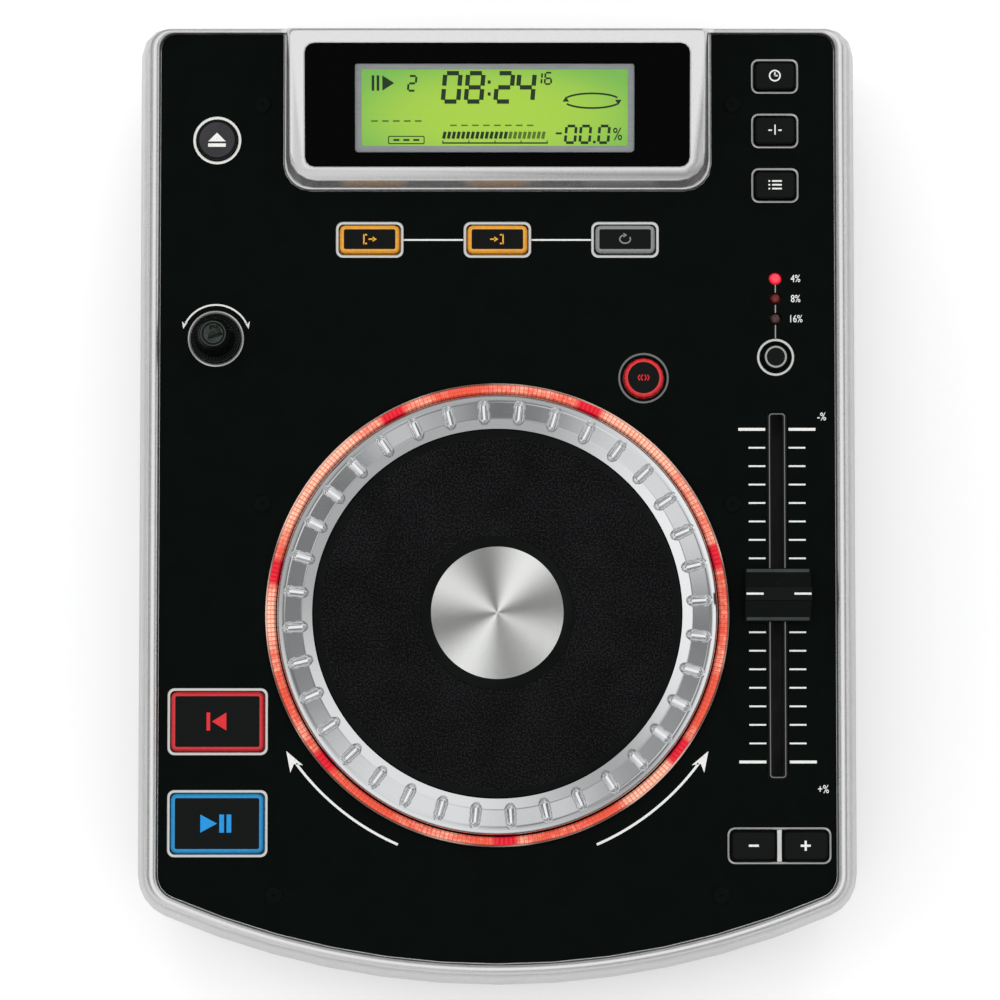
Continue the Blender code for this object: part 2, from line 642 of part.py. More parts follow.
def pegs(name, radius, low, high, places, sides=SMALL_SIDES):
    """Upright cylinders at several places, in one object for one Boolean."""
    shape = bmesh.new()
    for x, y in places:
        bmesh.ops.create_cone(
            shape,
            cap_ends=True,
            segments=sides,
            radius1=radius,
            radius2=radius,
            depth=high - low,
            matrix=Matrix.Translation((x, y, (low + high) / 2)),
        )
    return from_shape(name, shape, (0, 0, 0), None)


def turned(name, profile, look=None, place=(0.0, 0.0, 0.0), steps=TURNED_STEPS, closed=False, parent=None):
    """A profile of (radius, height) points turned about an upright axis."""
    edges = [(i, i + 1) for i in range(len(profile) - 1)]
    if closed:
        edges.append((len(profile) - 1, 0))
    mesh = bpy.data.meshes.new(name)
    mesh.from_pydata([(radius, 0, height) for radius, height in profile], edges, [])
    piece = add_piece(name, mesh, place, look, (0, 0, 0), parent)
    screw = piece.modifiers.new("turn", "SCREW")
    screw.angle = 2 * math.pi
    screw.steps = steps
    screw.render_steps = steps
    screw.use_merge_vertices = True
    screw.merge_threshold = WELD
    return settled(piece)


def plate(name, outlines, low, high, look=None, place=(0.0, 0.0, 0.0), turn=(0.0, 0.0, 0.0), parent=None):
    """A flat outline with any holes, from one height to another in its own frame."""
    curve = bpy.data.curves.new(name, "CURVE")
    curve.dimensions = "2D"
    curve.fill_mode = "BOTH"
    curve.extrude = (high - low) / 2
    for points in outlines:
        spline = curve.splines.new("POLY")
        spline.points.add(len(points) - 1)
        spline.use_cyclic_u = True
        for point, (x, y) in zip(spline.points, points):
            point.co = (x, y, 0, 1)
    piece = add_piece(name, curve, place, look, turn, parent)
    lift = Vector((0, 0, (low + high) / 2))
    lift.rotate(piece.rotation_euler)
    piece.location = Vector(place) + lift
    return settled(piece)


def lofted(name, rings, look=None, place=(0.0, 0.0, 0.0), closed=False, parent=None):
    """A skin over rings of equal point counts, capped at both ends or closed on itself."""
    shape = bmesh.new()
    rows = [[shape.verts.new(point) for point in ring] for ring in rings]
    count = len(rows[0])
    pairs = list(zip(rows, rows[1:]))
    if closed:
        pairs.append((rows[-1], rows[0]))
    else:
        shape.faces.new(list(reversed(rows[0])))
        shape.faces.new(rows[-1])
    for lower, upper in pairs:
        for i in range(count):
            j = (i + 1) % count
            shape.faces.new((lower[i], lower[j], upper[j], upper[i]))
    return from_shape(name, shape, place, look, parent=parent)


def combine(piece, tool, operation, solver):
    """Puts a Boolean on a piece and its tool out of sight."""
    collection(PARTS).objects.unlink(tool)
    collection(CUTTERS).objects.link(tool)
    tool.hide_render = True
    tool.display_type = "WIRE"
    boolean = piece.modifiers.new(tool.name, "BOOLEAN")
    boolean.operation = operation
    boolean.solver = solver
    boolean.object = tool


def cut(piece, tool, solver="EXACT"):
    """Takes the tool's shape out of a piece."""
    combine(piece, tool, "DIFFERENCE", solver)


def join(piece, tool, solver="EXACT"):
    """Adds the tool's shape to a piece."""
    combine(piece, tool, "UNION", solver)


def both_sides(places):
    """Each place and its mirror image."""
    return [(side * x, y) for side in (-1, 1) for x, y in places]


def rim_top_at(share):
    """A height on the housing's wall, by its share of the drop from the rim to the skirt's foot."""
    return RIM_TOP - share * (RIM_TOP - SKIRT_BOTTOM)


def wall_ring(rim_share, flare_share, drop_share, inwards):
    """One ring of the housing's wall."""
    grown = [rim_share * rim + flare_share * flare - inwards for rim, flare in zip(RIM, FLARE)]
    return level(body_outline(*grown), rim_top_at(drop_share))


def make_upper_housing():
    """Rim, flared skirt and the ledge that the faceplate lies on, with the hood and the openings."""
    ledge = body_outline(-LEDGE_WIDTH, -LEDGE_WIDTH, -LEDGE_WIDTH)
    well = body_outline(GAP, GAP, GAP)
    rings = [
        level(ledge, UNDER_PLATE - LEDGE_THICKNESS),
        level(ledge, UNDER_PLATE),
        level(well, UNDER_PLATE),
        level(well, RIM_TOP - RIM_BEVEL),
    ]
    rings += [wall_ring(*row, 0) for row in OUTER_WALL_SHARES]
    rings += [wall_ring(*row, HOUSING_WALL) for row in INNER_WALL_SHARES]
    housing = lofted("upper_housing", rings, SILVER_PLASTIC, closed=True)
    flange = [notch_outline(LEDGE_WIDTH, PLATE_BACK + RIM[1] - GAP)]
    join(housing, plate("hood_flange", flange, UNDER_PLATE - LEDGE_THICKNESS, UNDER_PLATE))
    join(housing, hood_block())
    cut(housing, hood_cavity())
    cut(housing, window_recess("window_seat", GAP, -WINDOW_SEAT))
    cut(housing, window_recess("window_opening", -WINDOW_LIP, -HOOD_WALL - OVERRUN))
    cut(housing, slot_opening())
    inside = PLATE_BACK - LEDGE_WIDTH
    low = (-BAY_HALF_WIDTH, inside, BAY_LOW)
    high = (BAY_HALF_WIDTH, PLATE_BACK + RIM[1] + FLARE[1] + OVERRUN, BAY_HIGH)
    cut(housing, block("bay_opening", low, high))
    return housing


def hood_slope():
    """The angle of the hood's top."""
    return math.atan2(HOOD_BACK_RISE - HOOD_FRONT_RISE, hood_back() - hood_front())


def hood_front():
    """Where the hood's top begins."""
    return NOTCH_FRONT + GAP + HOOD_FRONT_LEAN


def hood_back():
    """Where the hood's top ends."""
    return PLATE_BACK + RIM[1] - HOOD_BACK_LEAN


def hood_top(y):
    """The height of the hood's top at a place."""
    return PANEL_TOP + HOOD_FRONT_RISE + (y - hood_front()) * math.tan(hood_slope())


def hood_ring(side, front, back, drop):
    """A ring of the hood, set in from its foot and that far below the slope of its top."""
    half = NOTCH_HALF_WIDTH - GAP - side
    fore = NOTCH_FRONT + GAP + front
    aft = PLATE_BACK + RIM[1] - back
    corner = NOTCH_FRONT_CORNER - GAP
    right = arc((half - corner, fore + corner), corner, -math.pi / 2, 0, NOTCH_STEPS)
    back_centre = (half - NOTCH_BACK_CORNER, aft - NOTCH_BACK_CORNER)
    right += arc(back_centre, NOTCH_BACK_CORNER, 0, math.pi / 2, EDGE_STEPS)
    return [(x, y, hood_top(y) - drop) for x, y in right + mirrored_left(right)]


def flattened(ring, height):
    """The same ring laid flat."""
    return [(x, y, height) for x, y, _ in ring]


def hood_block():
    """The hood as a solid block, from the ledge to its sloping top."""
    foot = hood_ring(0, 0, 0, 0)
    step = hood_ring(HOOD_FOOT_STEP, HOOD_FOOT_STEP, 0, 0)
    rings = [
        flattened(foot, UNDER_PLATE - LEDGE_THICKNESS),
        flattened(foot, PANEL_TOP + HOOD_FOOT_RISE),
        flattened(step, PANEL_TOP + HOOD_FOOT_RISE + HOOD_EDGE),
        hood_ring(
            HOOD_SIDE_LEAN - HOOD_EDGE, HOOD_FRONT_LEAN - HOOD_EDGE, HOOD_BACK_LEAN - HOOD_EDGE, HOOD_EDGE
        ),
        hood_ring(HOOD_SIDE_LEAN, HOOD_FRONT_LEAN, HOOD_BACK_LEAN, 0),
    ]
    return lofted("hood", rings)


def hood_cavity():
    """The space under the hood, open below."""
    inner = hood_ring(
        HOOD_SIDE_LEAN + HOOD_WALL,
        HOOD_FRONT_LEAN + HOOD_WALL,
        HOOD_BACK_LEAN + HOOD_WALL + LEDGE_WIDTH,
        HOOD_WALL,
    )
    return lofted("hood_cavity", [flattened(inner, UNDER_PLATE - LEDGE_THICKNESS - OVERRUN), inner])


def window_recess(name, grow, floor):
    """A cutter for the window's seat or for the opening under it, on the slope of the hood."""
    outline = rounded_rectangle(
        WINDOW_WIDTH + 2 * grow, WINDOW_LENGTH + 2 * grow, WINDOW_CORNER + grow, CORNER_STEPS
    )
    return plate(name, [outline], floor, OVERRUN, parent=bpy.data.objects[HOOD_FACE])


def slot_opening():
    """The opening in the front of the skirt that takes the slot's bezel."""
    half = SLOT_HALF_WIDTH + SLOT_BEZEL_WIDTH + GAP
    tall = SLOT_HEIGHT / 2 + SLOT_BEZEL_WIDTH + GAP
    front = -PLATE_FRONT - RIM[2] - FLARE[2] - OVERRUN
    back = bow_centre() - math.sqrt(BOW_RADIUS**2 - half**2) + OVERRUN
    return block("slot_opening", (-half, front, DISC_PLANE - tall), (half, back, DISC_PLANE + tall))


def make_display():
    """The dark window in the hood and the LCD module under it."""
    face = bpy.data.objects[HOOD_FACE]
    outline = rounded_rectangle(WINDOW_WIDTH, WINDOW_LENGTH, WINDOW_CORNER, CORNER_STEPS)
    bottom = GAP - WINDOW_SEAT
    plate("display_window", [outline], bottom, bottom + WINDOW_THICKNESS, DARK_WINDOW, parent=face)
    top = bottom - GAP
    outline = rounded_rectangle(LCD_WIDTH, LCD_LENGTH, LCD_CORNER, CORNER_STEPS)
    place = (*LCD_PLACE, 0)
    module = plate("lcd_module", [outline], top - LCD_THICKNESS, top, LCD_GREEN, place, parent=face)
    glass = rounded_rectangle(LCD_GLASS_WIDTH, LCD_GLASS_LENGTH, LCD_CORNER, CORNER_STEPS)
    floor = top - LCD_GLASS_DEPTH
    cut(module, plate("lcd_glass_recess", [glass], floor, top + OVERRUN, None, place, parent=face))


def cap_outline(cap, grow, centre=(0.0, 0.0)):
    """A button cap's outline grown by a distance: round for one radius, else a rounded rectangle."""
    if isinstance(cap, float):
        return circle(cap + grow, ROUND_BUTTON_SIDES, centre)
    corner = max(BUTTON_CORNER + grow, SMALLEST_CORNER)
    return rounded_rectangle(cap[0] + 2 * grow, cap[1] + 2 * grow, corner, BUTTON_CORNER_STEPS, centre)


def button_table():
    """Each button's name, place, cap, travel and look."""
    right, left = COLUMN_X, -COLUMN_X
    return (
        ("eject_button", (EJECT_X, EJECT_Y), EJECT_RADIUS, BUTTON_TRAVEL, GREY_CAP),
        ("time_button", (right, MODE_BACK_Y), MODE_CAP, BUTTON_TRAVEL, GREY_CAP),
        ("single_button", (right, MODE_BACK_Y - MODE_PITCH), MODE_CAP, BUTTON_TRAVEL, GREY_CAP),
        ("program_button", (right, MODE_BACK_Y - 2 * MODE_PITCH), MODE_CAP, BUTTON_TRAVEL, GREY_CAP),
        ("loop_in_button", (-LOOP_PITCH, LOOP_Y), LOOP_CAP, BUTTON_TRAVEL, AMBER_LENS),
        ("loop_out_button", (0.0, LOOP_Y), LOOP_CAP, BUTTON_TRAVEL, AMBER_LENS),
        ("reloop_button", (LOOP_PITCH, LOOP_Y), LOOP_CAP, BUTTON_TRAVEL, GREY_CAP),
        ("search_button", SEARCH_PLACE, SEARCH_RADIUS, BUTTON_TRAVEL, RED_LENS),
        ("pitch_range_button", (right, RANGE_BUTTON_Y), RANGE_BUTTON_RADIUS, BUTTON_TRAVEL, GREY_CAP),
        ("cue_button", (left, CUE_Y), DECK_CAP, DECK_BUTTON_TRAVEL, RED_LENS),
        ("play_button", (left, PLAY_Y), DECK_CAP, DECK_BUTTON_TRAVEL, BLUE_LENS),
        ("pitch_down_button", (BEND_X - BEND_PITCH / 2, BEND_Y), BEND_CAP, BUTTON_TRAVEL, GREY_CAP),
        ("pitch_up_button", (BEND_X + BEND_PITCH / 2, BEND_Y), BEND_CAP, BUTTON_TRAVEL, GREY_CAP),
    )


def make_faceplate():
    """The black plate with an opening for every control, and posts down to the control board."""
    outline = body_outline(0, 0, 0)
    right = [point for point in outline if point[0] > 0 and point[1] > NOTCH_FRONT]
    others = [point for point in outline if point[1] < NOTCH_FRONT]
    start = next(i for i, point in enumerate(others) if point[0] < 0)
    corner = arc(
        (NOTCH_HALF_WIDTH - NOTCH_FRONT_CORNER, NOTCH_FRONT + NOTCH_FRONT_CORNER),
        NOTCH_FRONT_CORNER,
        0,
        -math.pi / 2,
        NOTCH_STEPS,
    )
    notch = [(NOTCH_HALF_WIDTH, PLATE_BACK)] + corner
    edge = others[:start] + right + notch + mirrored_left(notch) + mirrored_left(right) + others[start:]
    holes = [circle(WHEEL_HOLE_RADIUS, WHEEL_STEPS)]
    holes += [cap_outline(cap, RUNNING_GAP, place) for _, place, cap, _, _ in button_table()]
    holes += [circle(LAMP_RADIUS + GAP, LAMP_SIDES, (COLUMN_X, y)) for y in LAMP_Y]
    holes += [circle(ENCODER_BUSH_RADIUS + GAP, SMALL_SIDES, KNOB_PLACE), fader_trim_outline(GAP)]
    faceplate = plate("faceplate", [edge] + holes, PLATE_BOTTOM, PANEL_TOP, BLACK_PANEL)
    places = both_sides(POST_PLACES)
    posts = pegs("board_posts", POST_RADIUS, BOARD_TOP + GAP, PLATE_BOTTOM + SEAM_OVERLAP, places)
    join(faceplate, posts, "MANIFOLD")


def make_buttons():
    """Each button as cap, flange under the faceplate and stem over its switch."""
    flange_bottom = UNDER_PLATE - BUTTON_FLANGE_THICKNESS
    top = PANEL_TOP + BUTTON_RISE
    for name, (x, y), cap, travel, look in button_table():
        stem_bottom = BOARD_TOP + SWITCH_HEIGHT + travel + GAP
        stem = BUTTON_STEM / 2 if isinstance(cap, float) else (BUTTON_STEM, BUTTON_STEM)
        rings = [
            level(cap_outline(stem, 0), stem_bottom),
            level(cap_outline(stem, 0), flange_bottom),
            level(cap_outline(cap, BUTTON_FLANGE), flange_bottom),
            level(cap_outline(cap, BUTTON_FLANGE), UNDER_PLATE),
            level(cap_outline(cap, 0), UNDER_PLATE),
            level(cap_outline(cap, 0), top - BUTTON_EDGE),
            level(cap_outline(cap, -BUTTON_EDGE), top),
        ]
        lofted(name, rings, look, (x, y, 0))


def make_lamps():
    """Three lamps on spacers, their domes through the faceplate."""
    flange_top = BOARD_TOP + GAP + LAMP_SPACER_HEIGHT
    profile = [
        (0, PANEL_TOP + LAMP_RISE),
        (LAMP_RADIUS * math.sin(LAMP_DOME), PANEL_TOP + LAMP_RISE - LAMP_RADIUS * (1 - math.cos(LAMP_DOME))),
        (LAMP_RADIUS, PANEL_TOP + LAMP_RISE - LAMP_RADIUS),
        (LAMP_RADIUS, flange_top),
        (LAMP_RADIUS + LAMP_FLANGE, flange_top),
        (LAMP_RADIUS + LAMP_FLANGE, BOARD_TOP + GAP),
        (0, BOARD_TOP + GAP),
    ]
    for number, y in enumerate(LAMP_Y, 1):
        turned(f"range_lamp_{number}", profile, RED_LENS, (COLUMN_X, y, 0), LAMP_SIDES)


def fader_slot_length():
    """The slot is as long as the travel and the stem that runs in it."""
    return 2 * FADER_TRAVEL + FADER_STEM_LENGTH + 2 * RUNNING_GAP


def fader_trim_outline(grow):
    """The slot trim's outline on the faceplate, grown by a distance."""
    width = FADER_SLOT + 2 * FADER_TRIM_SIDE + 2 * grow
    length = fader_slot_length() + 2 * FADER_TRIM_END + 2 * grow
    return rounded_rectangle(width, length, FADER_TRIM_SIDE, CORNER_STEPS, (FADER_X, FADER_Y))


def fader_block(name, half_width, half_length, low, high, look=None):
    """A box about the middle of the fader."""
    near = (FADER_X - half_width, FADER_Y - half_length, low)
    return block(name, near, (FADER_X + half_width, FADER_Y + half_length, high), look)


def make_fader():
    """Slot trim, channel body, carriage and cap."""
    middle = (FADER_X, FADER_Y)
    slot = rounded_rectangle(FADER_SLOT, fader_slot_length(), SMALLEST_CORNER, CORNER_STEPS, middle)
    rings = [fader_trim_outline(0), slot]
    plate("fader_slot_trim", rings, PLATE_BOTTOM, PANEL_TOP + FADER_TRIM_RISE, BLACK_PLASTIC)
    half_width, half_length = FADER_BODY_WIDTH / 2, FADER_BODY_LENGTH / 2
    low = UNDER_PLATE - FADER_BODY_HEIGHT
    wall = FADER_BODY_WALL
    body = fader_block("fader_body", half_width, half_length, low, UNDER_PLATE, STEEL)
    inside = (half_width - wall, half_length - wall, low + wall, UNDER_PLATE - wall)
    cut(body, fader_block("fader_channel", *inside))
    slot_reach = (UNDER_PLATE - wall - OVERRUN, UNDER_PLATE + OVERRUN)
    cut(body, fader_block("fader_body_slot", FADER_SLOT / 2, fader_slot_length() / 2, *slot_reach))
    slider_low = low + wall + GAP
    slider_high = slider_low + FADER_SLIDER_HEIGHT
    slider_half = half_width - wall - RUNNING_GAP
    slider = (slider_half, FADER_STEM_LENGTH, slider_low, slider_high)
    carriage = fader_block("fader_carriage", *slider, BLACK_PLASTIC)
    cap_bottom = PANEL_TOP + FADER_CAP_LIFT
    stem = (FADER_STEM_THICKNESS / 2, FADER_STEM_LENGTH / 2)
    socket_top = cap_bottom + FADER_SOCKET_DEPTH
    join(carriage, fader_block("fader_stem", *stem, slider_high - SEAM_OVERLAP, socket_top - GAP))
    half = [(x * FADER_CAP_LENGTH / 2, share * FADER_CAP_HEIGHT) for x, share in FADER_CAP_SHARES]
    half += [(FADER_RIDGE_LENGTH / 2, FADER_CAP_HEIGHT * share) for share in FADER_RIDGE_SHARES]
    side = half + mirrored_left(half)
    upright = (math.pi / 2, 0, math.pi / 2)
    place = (FADER_X, FADER_Y, cap_bottom)
    reach = FADER_CAP_WIDTH / 2
    cap = plate("fader_cap", [side], -reach, reach, BLACK_PLASTIC, place, upright)
    socket = [size + GAP for size in stem]
    cut(cap, fader_block("fader_socket", *socket, cap_bottom - OVERRUN, socket_top))


def make_track_knob():
    """Knob and shaft over a switch plunger, in the encoder's bush."""
    x, y = KNOB_PLACE
    place = (x, y, 0)
    bottom = PANEL_TOP + KNOB_LIFT
    top = bottom + KNOB_HEIGHT
    bore = KNOB_SHAFT_RADIUS + GAP
    bore_top = bottom + KNOB_BORE_DEPTH
    profile = [
        (0, top),
        (KNOB_FACE_RADIUS, top),
        (KNOB_TOP_RADIUS, top - KNOB_CROWN),
        (KNOB_WAIST_RADIUS, bottom + KNOB_SKIRT + KNOB_CROWN),
        (KNOB_RADIUS, bottom + KNOB_SKIRT),
        (KNOB_RADIUS, bottom),
        (bore, bottom),
        (bore, bore_top),
        (0, bore_top),
    ]
    turned("track_knob", profile, BLACK_PLASTIC, place, KNOB_STEPS)
    low = BOARD_TOP + GAP
    floor = low + ENCODER_FLOOR
    plunger_bottom = floor + KNOB_TRAVEL + GAP
    plunger_top = plunger_bottom + PLUNGER_HEIGHT
    half = ENCODER_SIDE / 2
    near, far = (x - half, y - half, low), (x + half, y + half, low + ENCODER_HEIGHT)
    body = block("track_encoder_body", near, far, STEEL)
    bush = low + ENCODER_HEIGHT - SEAM_OVERLAP
    join(body, pegs("encoder_bush", ENCODER_BUSH_RADIUS, bush, PANEL_TOP - GAP, [KNOB_PLACE]))
    cut(body, pegs("encoder_bore", bore, floor, PANEL_TOP + OVERRUN, [KNOB_PLACE], KNOB_STEPS))
    ends = (x, y, plunger_bottom), (x, y, plunger_top)
    rod("track_switch_plunger", KNOB_SHAFT_RADIUS, *ends, WHITE_PLASTIC)
    shaft_bottom = plunger_top + GAP
    rod("track_encoder_shaft", KNOB_SHAFT_RADIUS, (x, y, shaft_bottom), (x, y, bore_top - GAP), STEEL)


def groove_outlines():
    """The finger grooves in plan, round at their outer ends."""
    half = GROOVE_WIDTH / 2
    end = arc((WHEEL_TOP_OUTER_RADIUS - half, 0), half, -math.pi / 2, math.pi / 2, GROOVE_END_STEPS)
    outline = [(GROOVE_INNER_RADIUS, half), (GROOVE_INNER_RADIUS, -half)] + end
    pitch = 2 * math.pi / GROOVE_COUNT
    return [turned_about(outline, GROOVE_FIRST + pitch * i) for i in range(GROOVE_COUNT)]


def make_jog_rim():
    """The silver rim: a turned shell with a finger groove every ten degrees."""
    foot = PANEL_TOP - WHEEL_FOOT_DROP
    edge = PANEL_TOP + WHEEL_EDGE_RISE
    web = PANEL_TOP + WHEEL_WEB_RISE
    shoulder = WHEEL_RADIUS - WHEEL_SHOULDER
    profile = [
        (DISC_RADIUS + GAP, PANEL_TOP + WHEEL_BEVEL_TOP_RISE),
        (WHEEL_BEVEL_RADIUS, PANEL_TOP + WHEEL_BEVEL_RISE),
        (WHEEL_TOP_OUTER_RADIUS, PANEL_TOP + WHEEL_TOP_OUTER_RISE),
        (shoulder, edge + WHEEL_SHOULDER),
        (WHEEL_RADIUS, edge),
        (WHEEL_RADIUS, foot),
        (WHEEL_RADIUS - WHEEL_WALL, foot),
        (WHEEL_RADIUS - WHEEL_WALL, web),
        (DISC_RADIUS + GAP, web),
    ]
    rim = turned("jog_rim", profile, SILVER_PLASTIC, steps=WHEEL_STEPS, closed=True)
    floor = PANEL_TOP + WHEEL_TOP_OUTER_RISE - GROOVE_DEPTH
    cut(rim, plate("finger_grooves", groove_outlines(), floor, floor + OVERRUN))


def make_jog_disc():
    """The black disc with its hub and the flange that carries the rim, and the spun cap in its middle."""
    top = PANEL_TOP + DISC_RISE
    seat = top - CAP_SEAT
    flange_top = PANEL_TOP + WHEEL_WEB_RISE - GAP
    flange_bottom = flange_top - DISC_FLANGE_THICKNESS
    hub_bottom = TRAY_BOSS_TOP + GAP + BEARING_FLANGE + GAP
    bore = SHAFT_RADIUS + GAP
    profile = [
        (0, seat),
        (CAP_RADIUS + GAP, seat),
        (CAP_RADIUS + GAP, top),
        (DISC_RADIUS - DISC_CHAMFER, top),
        (DISC_RADIUS, top - DISC_CHAMFER_DROP),
        (DISC_RADIUS, flange_top),
        (DISC_FLANGE_RADIUS, flange_top),
        (DISC_FLANGE_RADIUS, flange_bottom),
        (DISC_RADIUS - DISC_RIM_WALL, flange_bottom),
        (DISC_RADIUS - DISC_RIM_WALL, seat - DISC_SKIN),
        (HUB_RADIUS, seat - DISC_SKIN),
        (HUB_RADIUS, hub_bottom),
        (bore, hub_bottom),
        (bore, PANEL_TOP + SHAFT_RISE + GAP),
        (0, PANEL_TOP + SHAFT_RISE + GAP),
    ]
    turned("jog_disc", profile, BLACK_PLASTIC)
    cap_top = PANEL_TOP + CAP_RISE
    cap = [
        (0, cap_top),
        (CAP_TOP_RADIUS, cap_top),
        (CAP_RADIUS, PANEL_TOP + CAP_EDGE_RISE),
        (CAP_RADIUS, seat + GAP),
        (0, seat + GAP),
    ]
    turned("jog_cap", cap, SPUN_METAL)


def make_jog_bearing():
    """Shaft, bush and encoder disc on the wheel's axis, with the tray and the lit ring that stay still."""
    rod("jog_shaft", SHAFT_RADIUS, (0, 0, SHAFT_BOTTOM), (0, 0, PANEL_TOP + SHAFT_RISE), STEEL)
    bore = SHAFT_RADIUS + GAP
    boss_bore = BEARING_RADIUS + GAP
    flange = TRAY_BOSS_TOP + GAP
    bush = [
        (BEARING_FLANGE_RADIUS, flange + BEARING_FLANGE),
        (BEARING_FLANGE_RADIUS, flange),
        (BEARING_RADIUS, flange),
        (BEARING_RADIUS, TRAY_BOSS_BOTTOM),
        (bore, TRAY_BOSS_BOTTOM),
        (bore, flange + BEARING_FLANGE),
    ]
    turned("jog_bearing", bush, BRONZE, steps=2 * SMALL_SIDES, closed=True)
    inner = TRAY_RADIUS - TRAY_WALL
    tray = [
        (TRAY_FLANGE_RADIUS, UNDER_PLATE),
        (TRAY_FLANGE_RADIUS, UNDER_PLATE - TRAY_WALL),
        (TRAY_RADIUS, UNDER_PLATE - TRAY_WALL),
        (TRAY_RADIUS, TRAY_FLOOR),
        (TRAY_BOSS_RADIUS, TRAY_FLOOR),
        (TRAY_BOSS_RADIUS, TRAY_BOSS_BOTTOM),
        (boss_bore, TRAY_BOSS_BOTTOM),
        (boss_bore, TRAY_BOSS_TOP),
        (TRAY_BOSS_RADIUS, TRAY_BOSS_TOP),
        (TRAY_BOSS_RADIUS, TRAY_FLOOR + TRAY_WALL),
        (inner, TRAY_FLOOR + TRAY_WALL),
        (inner, UNDER_PLATE),
    ]
    turned("jog_tray", tray, BLACK_PLASTIC, steps=RING_STEPS, closed=True)
    disc_top = TRAY_BOSS_BOTTOM - GAP
    encoder = [circle(ENCODER_DISC_RADIUS, RING_STEPS), circle(bore, SMALL_SIDES)]
    plate("jog_encoder_disc", encoder, disc_top - ENCODER_DISC_THICKNESS, disc_top, STEEL)
    ring_top = PANEL_TOP + LIGHT_RING_RISE
    chamfer = LIGHT_RING_CHAMFER
    ring = [
        (LIGHT_RING_OUTER - chamfer, ring_top),
        (LIGHT_RING_OUTER, ring_top - chamfer),
        (LIGHT_RING_OUTER, PLATE_BOTTOM),
        (LIGHT_RING_INNER, PLATE_BOTTOM),
        (LIGHT_RING_INNER, ring_top - chamfer),
        (LIGHT_RING_INNER + chamfer, ring_top),
    ]
    turned("jog_light_ring", ring, RED_LENS, steps=LIGHT_RING_STEPS, closed=True)


def make_control_board():
    """The board under the faceplate, open round the wheel and the fader, with a switch under each button."""
    outline = body_outline(-BOARD_INSET, -BOARD_INSET, -BOARD_INSET)
    fader_width = FADER_BODY_WIDTH + 2 * RUNNING_GAP
    fader_length = FADER_BODY_LENGTH + 2 * RUNNING_GAP
    fader = rounded_rectangle(fader_width, fader_length, SMALLEST_CORNER, 1, (FADER_X, FADER_Y))
    holes = [circle(BOARD_HOLE_RADIUS, TURNED_STEPS), fader]
    board = plate("control_board", [outline] + holes, BOARD_BOTTOM, BOARD_TOP, CIRCUIT_GREEN)
    shape = bmesh.new()
    places = [place for _, place, _, _, _ in button_table()]
    for x, y in places:
        for side, low, high in (
            (SWITCH_SIDE, BOARD_TOP - SEAM_OVERLAP, BOARD_TOP + SWITCH_BODY),
            (SWITCH_PLUNGER, BOARD_TOP + SWITCH_BODY - SEAM_OVERLAP, BOARD_TOP + SWITCH_HEIGHT),
        ):
            size = Matrix.Diagonal((side, side, high - low, 1))
            middle = Matrix.Translation((x, y, (low + high) / 2))
            bmesh.ops.create_cube(shape, size=1.0, matrix=middle @ size)
    join(board, from_shape("switches", shape, (0, 0, 0), None))


def pan_outline(inwards):
    """The base pan's outline inside the skirt."""
    return body_outline(*[rim + flare - HOUSING_WALL - PAN_GAP - inwards for rim, flare in zip(RIM, FLARE)])


def board_corners(across):
    """Where the bosses under a rear board stand."""
    left, right = across[0] + STANDOFF_INSET, across[1] - STANDOFF_INSET
    front, back = REAR_BOARD_Y[0] + STANDOFF_INSET, REAR_BOARD_Y[1] - STANDOFF_INSET
    return [(left, front), (right, front), (left, back), (right, back)]


def make_base():
    """Steel pan with bosses for the boards, and four rubber feet."""
    rings = [
        level(pan_outline(PAN_CORNER), PAN_BOTTOM),
        level(pan_outline(0), PAN_BOTTOM + PAN_CORNER),
        level(pan_outline(0), PAN_TOP),
        level(pan_outline(PAN_THICKNESS), PAN_TOP),
        level(pan_outline(PAN_THICKNESS), PAN_FLOOR),
    ]
    pan = lofted("base_pan", rings, BLACK_STEEL)
    places = board_corners(MAIN_BOARD_X) + board_corners(POWER_BOARD_X)
    boss_top = PAN_FLOOR + BOARD_STANDOFF
    join(pan, pegs("board_bosses", PAN_BOSS_RADIUS, PAN_FLOOR - SEAM_OVERLAP, boss_top, places))
    top = PAN_BOTTOM - GAP
    profile = [(0, top), (FOOT_TOP_RADIUS, top), (FOOT_RADIUS, 0), (0, 0)]
    for end, corner in (("back", FOOT_BACK), ("front", FOOT_FRONT)):
        for side, (x, y) in zip(("left", "right"), both_sides([corner])):
            turned(f"foot_{end}_{side}", profile, RUBBER, (x, y, 0), FOOT_STEPS)


def make_rear_board(name, across, part_shares, look):
    """A board on its bosses, with parts placed and sized by shares of the board."""
    width, depth = across[1] - across[0], REAR_BOARD_Y[1] - REAR_BOARD_Y[0]
    near = (across[0], REAR_BOARD_Y[0], REAR_BOARD_BOTTOM)
    board = block(name, near, (across[1], REAR_BOARD_Y[1], REAR_BOARD_TOP), look)
    shape = bmesh.new()
    for x_share, y_share, width_share, depth_share, height_share in part_shares:
        height = height_share * TALLEST_BOARD_PART + SEAM_OVERLAP
        size = Matrix.Diagonal((width_share * width, depth_share * depth, height, 1))
        middle = (
            across[0] + x_share * width,
            REAR_BOARD_Y[0] + y_share * depth,
            REAR_BOARD_TOP - SEAM_OVERLAP + height / 2,
        )
        bmesh.ops.create_cube(shape, size=1.0, matrix=Matrix.Translation(middle) @ size)
    join(board, from_shape(name + "_parts", shape, (0, 0, 0), None))


def facing_back(name, outlines, near, far, look=None, place=(0.0, 0.0, 0.0)):
    """A flat outline in X and Z, from one depth to a further one."""
    return plate(name, outlines, -far, -near, look, place, (math.pi / 2, 0, 0))


